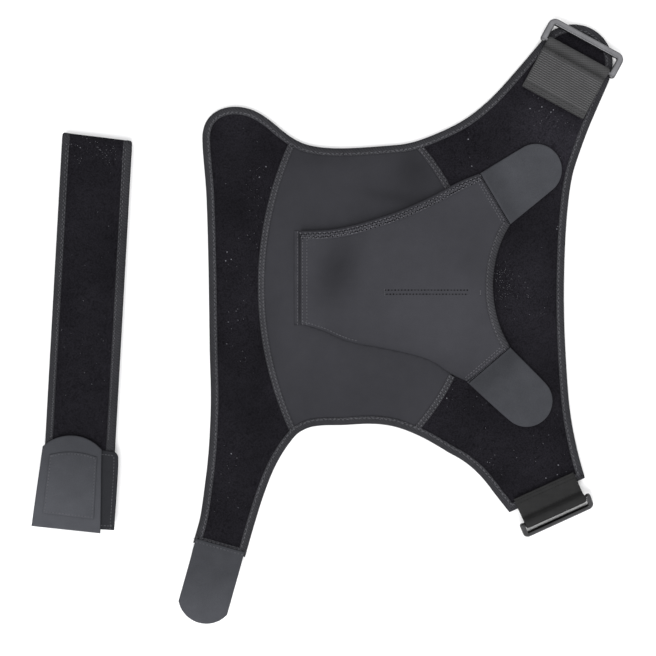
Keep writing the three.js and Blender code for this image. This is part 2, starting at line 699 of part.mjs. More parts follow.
const lowerFlapRight = strapHalf + LOWER_FLAP_SHIFT;
const lowerFlap = [
  point(LOWER_FLAP_SHIFT - strapHalf, lowerFlapTop),
  ...arc(
    point(lowerFlapRight - LOWER_FLAP_CORNER, lowerFlapTop),
    point(lowerFlapRight, lowerFlapTop - LOWER_FLAP_CORNER),
    LOWER_FLAP_CORNER_BOW,
    EDGE_STEP / 3,
  ),
  point(lowerFlapRight, strapFoot),
  point(LOWER_FLAP_SHIFT - strapHalf, strapFoot),
];

/** A named piece with its own material. */
function piece(name, shape, colour, roughness, metalness = 0) {
  const geometry = shape.isBufferGeometry ? shape : geometryOf(shape);
  const material = new THREE.MeshStandardMaterial({ color: colour, roughness, metalness });
  const mesh = new THREE.Mesh(geometry, material);
  mesh.name = name;
  return mesh;
}

const PILE = ["#1e1d21", 0.95];
const SMOOTH = ["#3c3c40", 0.8];
const TAPE = ["#353538", 0.85];
const FLAP = ["#484a4d", 0.75];

const brace = new THREE.Group();
brace.add(
  piece("cuff_panel", cuffPanel, ...PILE),
  piece("centre_panel", centrePanel, ...SMOOTH),
  piece("chest_panel", chestPanel, ...PILE),
  piece("edge_binding", edgeBinding, ...TAPE),
  piece("cuff_seam_tape", seamTape(cuffSeam), ...TAPE),
  piece("chest_seam_tape_upper", chestSeamTape(aboveCup), ...TAPE),
  piece("chest_seam_tape_lower", chestSeamTape(belowCup), ...TAPE),
  piece("pad_panel", layer(pocketCore, POCKET_LOW, POCKET_TOP), ...SMOOTH),
  piece("pad_hem", without(pocketHem, upperTab), ...SMOOTH),
  piece("pad_binding", without(without(pocketBinding, upperTab), lowerTab), ...TAPE),
  piece("pad_side_band", layer(sideBand, ON_PANEL, ON_PANEL + TAPE_THICKNESS), ...SMOOTH),
  piece("pad_tab_upper", pocketTab(upperTab), ...FLAP),
  piece("pad_tab_lower", pocketTab(lowerTab), ...FLAP),
  framed(tailEnd, TAIL_TURN, piece("cuff_tab", cuffTab(), ...FLAP)),
  framed(
    upperEnd.clone().addScaledVector(upperOut, UPPER_ARM_END_BOW - UPPER_RING_INSET),
    UPPER_ARM_TURN,
    piece("upper_webbing", webbing(UPPER_WEBBING_WIDTH, UPPER_WEBBING_LENGTH), "#464648", 0.8),
    seated(
      piece("upper_ring", ring(UPPER_WEBBING_WIDTH, UPPER_RING_BAR, UPPER_RING_REACH), "#6c6c70", 0.3),
      ringTip(UPPER_RING_REACH, ON_BINDING),
    ),
  ),
  framed(
    lowerEnd.clone().addScaledVector(lowerOut, LOWER_RING_OFFSET),
    LOWER_ARM_TURN + HALF_TURN,
    piece("lower_webbing", webbing(LOWER_WEBBING_WIDTH, LOWER_WEBBING_LENGTH), "#38383a", 0.8),
    seated(
      piece("lower_ring", ring(LOWER_WEBBING_WIDTH, LOWER_RING_BAR, LOWER_RING_REACH), "#3f3f42", 0.35),
      ringTip(LOWER_RING_REACH, 0),
    ),
  ),
);

const strap = framed(
  point(STRAP_FOLD_ACROSS, STRAP_FOLD_UP),
  -STRAP_LEAN,
  piece("strap", strapSheet, ...PILE),
  piece("strap_binding_left", strapTape(-strapHalf, -strapInner), ...TAPE),
  piece("strap_binding_right", strapTape(strapHalf, strapInner), ...TAPE),
  piece("strap_flap_lower", prism(lowerFlap, STRAP_TOP - TAB_THICKNESS, STRAP_TOP), ...FLAP),
  piece("strap_flap_upper", prism(upperFlap, FLAP_LOW, FLAP_LOW + TAB_THICKNESS), ...FLAP),
  piece("strap_hook_patch", prism(hookPatch, PATCH_LOW, PATCH_LOW + TAPE_THICKNESS), ...FLAP),
);

// The whole stands on the table with its box centred over the origin
const laidOut = new THREE.Group();
laidOut.add(brace, strap);
const box = new THREE.Box3().setFromObject(laidOut, true);
laidOut.position.set(-(box.min.x + box.max.x) / 2, -(box.min.y + box.max.y) / 2, -box.min.z);

export default laidOut;
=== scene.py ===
"""A shoulder brace laid out flat beside its folded chest strap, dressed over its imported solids.

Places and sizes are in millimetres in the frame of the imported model, and become metres where a mesh is made.
"""

import json
import logging
import math
from dataclasses import dataclass, field
from enum import Enum
from functools import partial
from typing import Callable, Optional, Sequence

import bmesh
import bpy
import numpy as np
from mathutils import Matrix
from mathutils.geometry import delaunay_2d_cdt


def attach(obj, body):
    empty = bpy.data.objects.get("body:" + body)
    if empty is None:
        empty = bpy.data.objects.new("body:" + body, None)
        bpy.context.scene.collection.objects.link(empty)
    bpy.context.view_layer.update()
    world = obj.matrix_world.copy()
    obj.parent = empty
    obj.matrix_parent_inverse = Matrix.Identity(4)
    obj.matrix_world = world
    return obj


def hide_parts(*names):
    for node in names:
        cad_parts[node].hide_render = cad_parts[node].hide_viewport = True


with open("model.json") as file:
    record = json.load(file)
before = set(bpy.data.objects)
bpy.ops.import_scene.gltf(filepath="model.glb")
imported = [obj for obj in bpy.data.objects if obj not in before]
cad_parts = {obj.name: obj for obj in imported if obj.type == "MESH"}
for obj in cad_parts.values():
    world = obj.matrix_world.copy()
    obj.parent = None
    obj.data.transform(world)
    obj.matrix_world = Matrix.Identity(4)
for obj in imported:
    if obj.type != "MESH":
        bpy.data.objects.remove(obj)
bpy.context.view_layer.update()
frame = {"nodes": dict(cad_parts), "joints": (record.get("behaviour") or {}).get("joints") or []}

log = logging.getLogger("shoulder_brace")

MM = 0.001
UP = np.array([0.0, 0.0, 1.0])
Line = np.ndarray
Field = Callable[[Line], np.ndarray]
Piece = bpy.types.Object
Socket = bpy.types.NodeSocket

# How far apart points lie along the smoothed outlines of tapes, panels and tabs, in mm
TAPE_STEP = 1.6
PANEL_STEP = 1.8
TAB_STEP = 1.2


class Body(Enum):
    """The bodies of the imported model."""

    BRACE = "brace"
    UPPER_RING = "upper_ring"
    LOWER_RING = "lower_ring"


class Slot(Enum):
    """The record's material slots."""

    PILE = "pile"
    SMOOTH = "smooth_cloth"
    TAPE = "tape"
    TAB = "tab_cloth"
    RIBBED = "ribbed_webbing"
    PLAIN = "plain_webbing"
    GREY_RING = "grey_ring"
    DARK_RING = "dark_ring"


class Hold(Enum):
    """How a sheet of cloth is held."""

    LAID = "laid"
    FOLDED = "folded"


class Grain(Enum):
    """The kinds of cloth face."""

    PILE = "pile"
    KNIT = "knit"
    TWILL = "twill"
    RIB = "rib"


# Lines and places in plan


def heading(degrees: float) -> np.ndarray:
    """The unit vector in plan that points a number of degrees round from +X."""
    return np.array([math.cos(math.radians(degrees)), math.sin(math.radians(degrees))])


def plan_loop(node: str) -> Line:
    """The longest outline of a CAD node's upward faces.

    Args:
        node: The CAD node's name.

    Returns:
        The outline's points, counter-clockwise, with those in the middle of a straight left out.
    """
    mesh = bmesh.new()
    mesh.from_mesh(frame["nodes"][node].data)
    bmesh.ops.remove_doubles(mesh, verts=mesh.verts, dist=1e-6)
    mesh.normal_update()
    mesh.verts.index_update()
    following = {}
    for face in mesh.faces:
        if face.normal.z <= 0.5:
            continue
        for corner in face.loops:
            if all(other is face or other.normal.z <= 0.5 for other in corner.edge.link_faces):
                following[corner.vert.index] = corner.link_loop_next.vert.index
    places = {v.index: (v.co.x / MM, v.co.y / MM) for v in mesh.verts}
    mesh.free()
    loops = []
    while following:
        start = next(iter(following))
        loop, at = [], start
        while at in following:
            loop.append(places[at])
            at = following.pop(at)
        loops.append(np.array(loop))
    longest = max(loops, key=lambda p: np.linalg.norm(p - np.roll(p, 1, 0), axis=1).sum())
    return without_straights(longest)


def without_straights(loop: Line, tolerance: float = 0.02) -> Line:
    """A closed loop without the points that lie on the straight between their neighbours."""
    kept = list(loop)
    i = 0
    while i < len(kept) and len(kept) > 3:
        before, here, after = kept[i - 1], kept[i], kept[(i + 1) % len(kept)]
        way = after - before
        off = abs(way[0] * (here[1] - before[1]) - way[1] * (here[0] - before[0]))
        if off <= tolerance * np.linalg.norm(way):
            kept.pop(i)
        else:
            i += 1
    return np.array(kept)


def smooth_line(points: Line, step: float, closed: bool = False) -> Line:
    """Even steps along a smooth curve through points.

    Args:
        points: The points it passes through.
        step: The distance between two points of the result.
        closed: True where the last point is followed by the first.

    Returns:
        The curve's points, with the last left out where it is closed.
    """
    if closed:
        ends = np.vstack([points[-1:], points, points[:2]])
    else:
        ends = np.vstack([2 * points[:1] - points[1:2], points, 2 * points[-1:] - points[-2:-1]])
    made = []
    for p0, p1, p2, p3 in zip(ends, ends[1:], ends[2:], ends[3:]):
        t0 = 0.0
        t1 = t0 + max(np.linalg.norm(p1 - p0), 1e-6) ** 0.5
        t2 = t1 + max(np.linalg.norm(p2 - p1), 1e-6) ** 0.5
        t3 = t2 + max(np.linalg.norm(p3 - p2), 1e-6) ** 0.5
        t = np.linspace(t1, t2, 8, endpoint=False)[:, None]
        a1 = (t1 - t) / (t1 - t0) * p0 + (t - t0) / (t1 - t0) * p1
        a2 = (t2 - t) / (t2 - t1) * p1 + (t - t1) / (t2 - t1) * p2
        a3 = (t3 - t) / (t3 - t2) * p2 + (t - t2) / (t3 - t2) * p3
        b1 = (t2 - t) / (t2 - t0) * a1 + (t - t0) / (t2 - t0) * a2
        b2 = (t3 - t) / (t3 - t1) * a2 + (t - t1) / (t3 - t1) * a3
        made.append((t2 - t) / (t2 - t1) * b1 + (t - t1) / (t2 - t1) * b2)
    made.append((points[:1] if closed else points[-1:]).astype(float))
    return even_steps(np.vstack(made), step, drop_last=closed)


def even_steps(points: Line, step: float, drop_last: bool = False) -> Line:
    """Points an even distance apart along a line of straights."""
    along = run_length(points)
    count = max(2, round(along[-1] / step))
    at = np.linspace(0, along[-1], count + 1)
    made = np.stack([np.interp(at, along, points[:, k]) for k in range(points.shape[1])], 1)
    return made[:-1] if drop_last else made


def run_length(points: Line) -> np.ndarray:
    """The length of an open line up to each of its points."""
    return np.concatenate([[0], np.cumsum(np.linalg.norm(np.diff(points, axis=0), axis=1))])


def runs_between_corners(loop: Line, step: float, corner: float = 33.0) -> list[Line]:
    """A closed loop as smooth runs that are parted at its corners.

    Args:
        loop: The loop's points.
        step: The distance between two points of the result.
        corner: The least turn of a corner, in degrees.

    Returns:
        The runs in order, each with both of its ends, or one closed run where there is no corner.
    """
    into = loop - np.roll(loop, 1, 0)
    out = np.roll(loop, -1, 0) - loop
    turn = np.arctan2(out[:, 1], out[:, 0]) - np.arctan2(into[:, 1], into[:, 0])
    turn = np.abs((turn + math.pi) % (2 * math.pi) - math.pi)
    sharp = np.flatnonzero(turn > math.radians(corner))
    if not len(sharp):
        return [smooth_line(loop, step, closed=True)]
    turned = np.roll(loop, -sharp[0], 0)
    stops = [*(sharp - sharp[0]), len(loop)]
    turned = np.vstack([turned, turned[:1]])
    return [smooth_line(turned[a : b + 1], step) for a, b in zip(stops, stops[1:])]


def joined(runs: Sequence[Line]) -> Line:
    """Runs that follow each other as one closed loop."""
    return runs[0] if len(runs) == 1 else np.vstack([run[:-1] for run in runs])


def cloth_loop(node: str, step: float, corner: float = 33.0) -> Line:
    """A CAD node's outline in plan as one smooth loop that keeps its corners."""
    return joined(runs_between_corners(plan_loop(node), step, corner))


def directions(path: Line) -> Line:
    """The unit vectors along a path at its points."""
    way = np.gradient(path, axis=0)
    return way / np.linalg.norm(way, axis=1, keepdims=True)


def sideways(line: Line, closed: bool) -> Line:
    """The vectors to the left of a line at its points, longer at corners so that both sides stay even."""
    if closed:
        into, out = line - np.roll(line, 1, 0), np.roll(line, -1, 0) - line
    else:
        steps = np.diff(line, axis=0)
        into, out = np.vstack([steps[:1], steps]), np.vstack([steps, steps[-1:]])
    into = into / np.linalg.norm(into, axis=1, keepdims=True)
    out = out / np.linalg.norm(out, axis=1, keepdims=True)
    left = np.stack([-into[:, 1] - out[:, 1], into[:, 0] + out[:, 0]], 1)
    left = left / np.maximum(np.linalg.norm(left, axis=1, keepdims=True), 1e-9)
    mitre = (left * np.stack([-into[:, 1], into[:, 0]], 1)).sum(1)
    return left / np.maximum(mitre, 0.6)[:, None]


def nearest(points: Line, line: Line, closed: bool = False) -> tuple[np.ndarray, np.ndarray]:
    """How far points are from a line, and how far along it.

    Args:
        points: The places asked about.
        line: The line's points.
        closed: True where the line's last point is followed by its first.

    Returns:
        Each point's distance from the line, and the length of the line up to the place nearest to it.
    """
    ends = np.vstack([line, line[:1]]) if closed else line
    start, way = ends[:-1], np.diff(ends, axis=0)
    length = np.maximum((way**2).sum(1), 1e-12)
    upto = run_length(ends)
    away, along = np.empty(len(points)), np.empty(len(points))
    for first in range(0, len(points), 2000):
        part = points[first : first + 2000, None, :]
        share = np.clip(((part - start) * way).sum(-1) / length, 0, 1)
        far = ((part - start - share[..., None] * way) ** 2).sum(-1)
        best = far.argmin(1)
        rows = np.arange(len(best))
        away[first : first + 2000] = np.sqrt(far[rows, best])
        along[first : first + 2000] = upto[best] + share[rows, best] * np.sqrt(length[best])
    return away, along


def inside(points: Line, loop: Line) -> np.ndarray:
    """True for the points that a closed loop goes round."""
    after = np.roll(loop, -1, 0)
    found = np.zeros(len(points), bool)
    for first in range(0, len(points), 2000):
        x, y = points[first : first + 2000, 0:1], points[first : first + 2000, 1:2]
        spans = (loop[:, 1] > y) != (after[:, 1] > y)
        rise = np.where(after[:, 1] == loop[:, 1], 1e-9, after[:, 1] - loop[:, 1])
        crossing = (after[:, 0] - loop[:, 0]) * (y - loop[:, 1]) / rise + loop[:, 0]
        found[first : first + 2000] = (spans & (x < crossing)).sum(1) % 2 == 1
    return found


def cut_size(loop: Line) -> tuple[float, float]:
    """The sides of the smallest rectangle that a loop fits in, in metres, the shorter first."""
    sizes = []
    for degrees in range(0, 90, 2):
        way = heading(degrees)
        across, up = loop @ way, loop @ np.array([-way[1], way[0]])
        sizes.append(sorted([np.ptp(across), np.ptp(up)]))
    short, long = min(sizes, key=lambda s: s[0] * s[1])
    return short * MM, long * MM


@dataclass(frozen=True)
class Place:
    """A frame in plan: an origin, and how far its x axis is turned from +X."""

    x: float
    y: float
    turn: float
    z: float = 0.0

    def world(self, points: Line) -> Line:
        """Points of the frame in the model's frame."""
        way = heading(self.turn)
        made = np.outer(points[:, 0], way) + np.outer(points[:, 1], [-way[1], way[0]])
        made = made + [self.x, self.y]
        return made if points.shape[1] == 2 else np.column_stack([made, points[:, 2] + self.z])

    def local(self, points: Line) -> Line:
        """Points of the model's frame in this frame."""
        way = heading(self.turn)
        off = points[:, :2] - [self.x, self.y]
        return np.column_stack([off @ way, off @ np.array([-way[1], way[0]])])


@dataclass(frozen=True)
class Oval:
    """A soft oval place on the cloth, with how much it adds in its middle."""

    x: float
    y: float
    across: float
    up: float
    amount: float
    turn: float = 0.0

    def over(self, points: Line) -> np.ndarray:
        """What it adds at points."""
        off = Place(self.x, self.y, self.turn).local(points) / [self.across, self.up]
        return self.amount * np.exp(-(off**2).sum(1))


def ovals(places: Sequence[Oval], points: Line) -> np.ndarray:
    """What several soft ovals add at points."""
    return sum((place.over(points) for place in places), np.zeros(len(points)))


def swell(points: Line, length: float, seed: int) -> np.ndarray:
    """Soft uneven waves from -1 to 1 over points, of about one length from crest to crest."""
    random = np.random.default_rng(seed)
    total = np.zeros(len(points))
    for _ in range(7):
        way = heading(random.uniform(0, 360))
        wave = length * random.uniform(0.7, 1.6)
        total += np.sin(points @ way * 2 * math.pi / wave + random.uniform(0, 2 * math.pi))
    return total / 4


def eased(value: np.ndarray, low: float, high: float) -> np.ndarray:
    """From 0 below low to 1 above high, with soft ends."""
    share = np.clip((value - low) / (high - low), 0, 1)
    return share * share * (3 - 2 * share)


# Surfaces that the cloth lies on


@dataclass(frozen=True)
class CupSurface:
    """The height of the brace's underside over the table: flat, with the shoulder cup standing up."""

    x: float = 68.43
    y: float = 25.90
    half_width: float = 116.0
    half_height: float = 96.0
    depth: float = 15.0

    def height(self, points: Line) -> np.ndarray:
        """The surface's height at points."""
        off = (points[:, :2] - [self.x, self.y]) / [self.half_width, self.half_height]
        away = np.minimum(np.hypot(off[:, 0], off[:, 1]), 1)
        return self.depth * (1 + np.cos(math.pi * away)) / 2


def nothing(points: Line) -> np.ndarray:
    """0 at each point: the table's height, or no relief."""
    return np.zeros(len(points))


def even(points: Line) -> np.ndarray:
    """1 at each point: an even tone, or an even edge."""
    return np.ones(len(points))


def bell(off: np.ndarray, width: float) -> np.ndarray:
    """From 1 in the middle of a soft bump to 0 far from it."""
    return np.exp(-((off / width) ** 2))


def rounding(away: np.ndarray, edge: np.ndarray) -> np.ndarray:
    """How much of its thickness a padded cloth has at a distance from its cut edge."""
    return np.sqrt(1 - (1 - np.clip(away / edge, 0, 1)) ** 2)


# Meshes


def linked(name: str, data: bpy.types.ID) -> Piece:
    """A new object in the scene."""
    made = bpy.data.objects.new(name, data)
    bpy.context.scene.collection.objects.link(made)
    return made


def new_object(name: str, points: Line, faces: Sequence[Sequence[int]], smooth: bool = True) -> Piece:
    """A mesh object whose place is in its vertices, with its faces turned outwards.

    Args:
        name: The object's name.
        points: Its vertices in mm.
        faces: Its faces.
        smooth: True where it is shaded as a smooth surface.

    Returns:
        The object, in the scene.
    """
    mesh = bpy.data.meshes.new(name)
    mesh.from_pydata((np.asarray(points) * MM).tolist(), [], [list(map(int, f)) for f in faces])
    if signed_volume(mesh) < 0:
        mesh.flip_normals()
    mesh.update()
    if smooth:
        mesh.polygons.foreach_set("use_smooth", [True] * len(mesh.polygons))
    return linked(name, mesh)


def signed_volume(mesh: bpy.types.Mesh) -> float:
    """A closed mesh's volume, negative where its faces point inwards."""
    mesh.calc_loop_triangles()
    corners = np.zeros(len(mesh.loop_triangles) * 3, np.int32)
    mesh.loop_triangles.foreach_get("vertices", corners)
    places = np.zeros(len(mesh.vertices) * 3)
    mesh.vertices.foreach_get("co", places)
    a, b, c = np.moveaxis(places.reshape(-1, 3)[corners.reshape(-1, 3)], 1, 0)
    return float((a * np.cross(b, c)).sum() / 6)


def vertex_points(piece: Piece) -> Line:
    """The places of a piece's vertices, in mm."""
    return np.array([v.co[:] for v in piece.data.vertices]) / MM


def paint(piece: Piece, name: str, values: np.ndarray | float) -> None:
    """Stores a number at each vertex, in place of what was there, for a material or a scatter to read."""
    marks = piece.data.attributes
    if name in marks:
        marks.remove(marks[name])
    numbers = np.full(len(piece.data.vertices), values, np.float32)
    marks.new(name, "FLOAT", "POINT").data.foreach_set("value", numbers)


@dataclass
class ClothLayer:
    """A sheet of padded cloth cut to a loop, lying over a surface, with rounded edges."""

    name: str
    loop: Line
    low: float
    high: float
    surface: Field
    spacing: float = 2.2
    edge: float = 1.3
    relief: Field = nothing
    tone: Field = even
    softness: Field = even

    @property
    def area(self) -> float:
        """The flat area of the cut, in square metres."""
        after = np.roll(self.loop, -1, 0)
        cross = self.loop[:, 0] * after[:, 1] - after[:, 0] * self.loop[:, 1]
        return float(abs(cross.sum()) / 2 * MM * MM)

    def sheet_points(self) -> tuple[Line, list]:
        """The loop filled with points and triangles.

        Returns:
            The points in plan, with those of the loop first, and the triangles.
        """
        left = sideways(self.loop, closed=True)
        rows = [(self.loop + left * self.edge * share, self.edge * share * 0.9) for share in (0.15, 0.45, 1.0)]
        low, high = self.loop.min(0), self.loop.max(0)
        across = np.arange(low[0], high[0], self.spacing)
        up = np.arange(low[1], high[1], self.spacing * 0.866)
        grid = np.array([(x + (j % 2) * self.spacing / 2, y) for j, y in enumerate(up) for x in across])
        keep = []
        for points, least in [*rows, (grid, self.edge + self.spacing * 0.45)]:
            points = points[inside(points, self.loop)]
            keep.append(points[nearest(points, self.loop, closed=True)[0] > least])
        everything = [tuple(p) for p in np.vstack([self.loop, *keep])]
        count = len(self.loop)
        around = [(i, (i + 1) % count) for i in range(count)]
        places, _, faces, *_ = delaunay_2d_cdt(everything, around, [list(range(count))], 1, 1e-6)
        return np.array([tuple(p) for p in places]), faces

    def build(self) -> Piece:
        """The layer as a closed mesh, with its tone painted on."""
        plan, faces = self.sheet_points()
        away, _ = nearest(plan, self.loop, closed=True)
        free = away >= 1e-3
        soft = rounding(away, self.edge * self.softness(plan))
        middle = self.surface(plan) + (self.low + self.high) / 2
        half = (self.high - self.low) / 2 * soft
        top = np.column_stack([plan, middle + half + self.relief(plan) * soft])
        under = np.column_stack([plan, middle - half])
        below = np.arange(len(plan))
        below[free] = len(plan) + np.arange(free.sum())
        made = [tuple(f) for f in faces] + [tuple(below[i] for i in reversed(f)) for f in faces]
        piece = new_object(self.name, np.vstack([top, under[free]]), made)
        tone = self.tone(plan)
        paint(piece, "tone", np.concatenate([tone, tone[free]]))
        return piece


def swept(name: str, rings: np.ndarray, closed: bool = False) -> Piece:
    """A mesh through rings of points, one at each station of a path.

    Args:
        name: The object's name.
        rings: Stations by points by three.
        closed: True where the last station is followed by the first.

    Returns:
        The object, with its ends capped where the path is open.
    """
    stations, around = rings.shape[:2]
    faces = []
    for i in range(stations if closed else stations - 1):
        here, there = i * around, (i + 1) % stations * around
        for j in range(around):
            k = (j + 1) % around
            faces.append((here + j, here + k, there + k, there + j))
    if not closed:
        faces.append(tuple(range(around)))
        faces.append(tuple(reversed(range((stations - 1) * around, stations * around))))
    return new_object(name, rings.reshape(-1, 3), faces)


@dataclass
class TapeRun:
    """A tape that follows a line in plan over a surface, with a profile of inward and up."""

    name: str
    line: Line
    profile: Line
    surface: Field
    closed: bool = False
    pucker: float = 0.12
    pucker_length: float = 7.0
    tone: float = 1.0
    seed: int = 1

    def build(self) -> Piece:
        """The tape as a closed mesh, slightly uneven along its way."""
        along = run_length(self.line)
        wave = swell(np.column_stack([along, along * 0]), self.pucker_length, self.seed)
        inward, up = self.profile.T
        flat = self.line[:, None] + sideways(self.line, self.closed)[:, None] * inward[:, None]
        base = self.surface(flat.reshape(-1, 2)).reshape(len(self.line), -1)
        lift = self.pucker * wave[:, None] * (up > up.mean())
        piece = swept(self.name, np.concatenate([flat, (base + up + lift)[..., None]], -1), self.closed)
        shade = self.tone * (1 + 0.05 * np.repeat(wave, len(up)))
        paint(piece, "tone", shade * np.tile(self.shading(), len(self.line)))
        return piece

    def shading(self) -> np.ndarray:
        """The painted shade at each point of the profile: a little darker low down and at its outer side."""
        inward, up = ((side - side.min()) / max(np.ptp(side), 1e-6) for side in self.profile.T)
        return (0.82 + 0.18 * up) * (0.9 + 0.2 * eased(inward, 0.45, 0.75))


def folded_profile(width: float, low: float, high: float, thick: float = 0.6) -> Line:
    """A tape folded round an edge: inward from the edge, and up.

    Args:
        width: How far it reaches in over the cloth.
        low: The level of its underside.
        high: The level of its top.
        thick: The tape's thickness.

    Returns:
        The closed profile.
    """
    middle, half = (low + high) / 2, (high - low) / 2
    turn = [(1 - math.sin(a), -math.cos(a)) for a in np.radians(np.linspace(0, 180, 9))]
    bulge = min(half, width * 0.45)
    outer = [(width, low + 0.1), (width * 0.8, low)]
    outer += [(bulge * u, middle + half * v) for u, v in turn]
    outer += [(width * 0.6, high + 0.02), (width * 0.72, high - 0.28), (width * 0.82, high - 0.12),
              (width * 0.94, high - 0.25), (width, high - 0.62)]
    inner = [(width - 0.05, high - 0.85), (width * 0.6, high - 0.72)]
    inner += [(thick + (bulge - thick) * u, middle + (half - 0.75) * v) for u, v in reversed(turn)]
    inner += [(width * 0.8, low + thick)]
    return np.array(outer + inner)


def flat_profile(width: float, low: float, high: float) -> Line:
    """A narrow tape sewn down along its middle and both sides: across, and up."""
    half = width / 2
    rise = [(0.2, 0.95), (0.5, 0.8), (0.75, 0.95), (0.94, 0.55), (1, 0.0)]
    top = [*((-u, v) for u, v in reversed(rise)), (0, 0.85), *rise]
    under = [(half * 0.9, low - 0.1), (-half * 0.9, low - 0.1)]
    return np.array([(half * u, low + (high - low) * v) for u, v in top] + under)


def strip_section(across: np.ndarray, half: np.ndarray) -> Line:
    """A flat strip's section, over and back: across, and up by half of its thickness there."""
    return np.vstack([np.column_stack([across, half]), np.column_stack([across[::-1], -half[::-1]])])


def evaluated(piece: Piece) -> Piece:
    """The piece with its modifiers made part of its mesh."""
    graph = bpy.context.evaluated_depsgraph_get()
    graph.update()
    whole = piece.evaluated_get(graph)
    made = bpy.data.meshes.new_from_object(whole, preserve_all_data_layers=True, depsgraph=graph)
    piece.modifiers.clear()
    piece.data = made
    made.name = piece.name
    return piece


# Shader node groups and finishes


def linear(shade: str) -> tuple[float, float, float, float]:
    """A colour such as #3c3c40 as linear red, green and blue, with an alpha of 1."""
    parts = [int(shade[i : i + 2], 16) / 255 for i in (1, 3, 5)]
    return (*(c / 12.92 if c <= 0.04045 else ((c + 0.055) / 1.055) ** 2.4 for c in parts), 1.0)


class Nodes:
    """A short way to add and join nodes in one tree."""

    def __init__(self, tree: bpy.types.NodeTree) -> None:
        """Starts on a tree, which it empties."""
        self.tree = tree
        tree.nodes.clear()

    def add(self, kind: str, inputs: Optional[dict] = None, **settings: object) -> bpy.types.Node:
        """Adds a node.

        Args:
            kind: The node's type.
            inputs: Values for its sockets by name or number; an output socket is linked.
            settings: Its own properties.

        Returns:
            The node.
        """
        node = self.tree.nodes.new(kind)
        for name, value in settings.items():
            setattr(node, name, value)
        for name, value in (inputs or {}).items():
            if isinstance(value, Socket):
                self.tree.links.new(value, node.inputs[name])
            else:
                node.inputs[name].default_value = value
        return node

    def math(self, operation: str, first: object, second: object = 0.0) -> Socket:
        """The result of a Math node."""
        return self.add("ShaderNodeMath", {0: first, 1: second}, operation=operation).outputs[0]

    def spread(self, value: object, low: float, high: float, to_low: float = 0.0, to_high: float = 1.0) -> Socket:
        """A value moved from one range to another, and held inside it."""
        return self.add("ShaderNodeMapRange", {0: value, 1: low, 2: high, 3: to_low, 4: to_high}).outputs[0]

    def mix(self, share: object, first: object, second: object, blend: str = "MIX") -> Socket:
        """A mix of two colours."""
        node = self.add("ShaderNodeMix", {0: share, 6: first, 7: second}, data_type="RGBA", blend_type=blend)
        return node.outputs[2]

    def noise(self, place: Socket, scale: object, detail: float = 2.0) -> Socket:
        """The height of a cloudy pattern."""
        return self.add("ShaderNodeTexNoise", {"Vector": place, "Scale": scale, "Detail": detail}).outputs[0]

    def bands(self, place: Socket, scale: object, way: str, distortion: float) -> Socket:
        """The height of even bands."""
        sizes = {"Vector": place, "Scale": scale, "Distortion": distortion, "Detail": 2.0}
        return self.add("ShaderNodeTexWave", sizes, bands_direction=way).outputs["Fac"]

    def toned(self, colour: object, level: object = 1.0) -> Socket:
        """A colour times a level and the tone painted on the piece, which holds painted light and shade on some
        pieces.
        """
        tone = self.add("ShaderNodeAttribute", attribute_name="tone").outputs["Fac"]
        total = self.math("MULTIPLY", tone, level)
        grey = self.add("ShaderNodeCombineColor", {0: total, 1: total, 2: total}).outputs[0]
        return self.mix(1.0, colour, grey, "MULTIPLY")

    def group(self, tree: bpy.types.NodeTree, place: Socket, **values: float) -> Sequence[Socket]:
        """The outputs of a group at a place, with its number inputs set."""
        return self.add("ShaderNodeGroup", {"Vector": place, **values}, node_tree=tree).outputs

    def surface(self, inputs: dict) -> None:
        """Ends a material in one Principled shader."""
        shader = self.add("ShaderNodeBsdfPrincipled", inputs)
        self.add("ShaderNodeOutputMaterial", {"Surface": shader.outputs[0]})


def shader_group(name: str, inputs: dict[str, float], make: Callable) -> bpy.types.NodeTree:
    """A new shader node group that reads a Vector and some numbers.

    Args:
        name: The group's name.
        inputs: Its number inputs with their usual values.
        make: Builds it from its nodes and its inputs, and returns its outputs by name.

    Returns:
        The group.
    """
    tree = bpy.data.node_groups.new(name, "ShaderNodeTree")
    tree.interface.new_socket(name="Vector", in_out="INPUT", socket_type="NodeSocketVector")
    for label, usual in inputs.items():
        socket = tree.interface.new_socket(name=label, in_out="INPUT", socket_type="NodeSocketFloat")
        socket.default_value = usual
    nodes = Nodes(tree)
    results = make(nodes, *nodes.add("NodeGroupInput").outputs[: 1 + len(inputs)])
    for label in results:
        tree.interface.new_socket(name=label, in_out="OUTPUT", socket_type="NodeSocketFloat")
    nodes.add("NodeGroupOutput", results)
    return tree


def pile_height(nodes: Nodes, place: Socket, scale: Socket) -> Socket:
    """Short brushed loops that lie over each other."""
    bent = nodes.noise(place, 260.0).node.outputs["Color"]
    shift = nodes.add("ShaderNodeVectorMath", {0: bent, 1: (0.0016, 0.0016, 0.0016)}, operation="MULTIPLY")
    moved = nodes.add("ShaderNodeVectorMath", {0: place, 1: shift.outputs[0]}, operation="ADD").outputs[0]
    loops = nodes.add("ShaderNodeTexVoronoi", {"Vector": moved, "Scale": scale})
    fuzz = nodes.noise(moved, 2200.0, 3.0)
    return nodes.math("SUBTRACT", nodes.math("MULTIPLY", fuzz, 0.8), loops.outputs["Distance"])


def knit_height(nodes: Nodes, place: Socket, scale: Socket) -> Socket:
    """A fine even knit of crossing rows."""
    rows, courses = (nodes.bands(place, scale, way, 2.6) for way in "XY")
    fuzz = nodes.math("MULTIPLY", nodes.noise(place, 1500.0, 3.0), 0.7)
    return nodes.math("ADD", nodes.math("MULTIPLY", rows, courses), fuzz)


def twill_height(nodes: Nodes, place: Socket, scale: Socket) -> Socket:
    """A slanting rib, as on tape."""
    fuzz = nodes.math("MULTIPLY", nodes.noise(place, 1300.0, 3.0), 0.8)
    return nodes.math("ADD", nodes.bands(place, scale, "DIAGONAL", 2.0), fuzz)


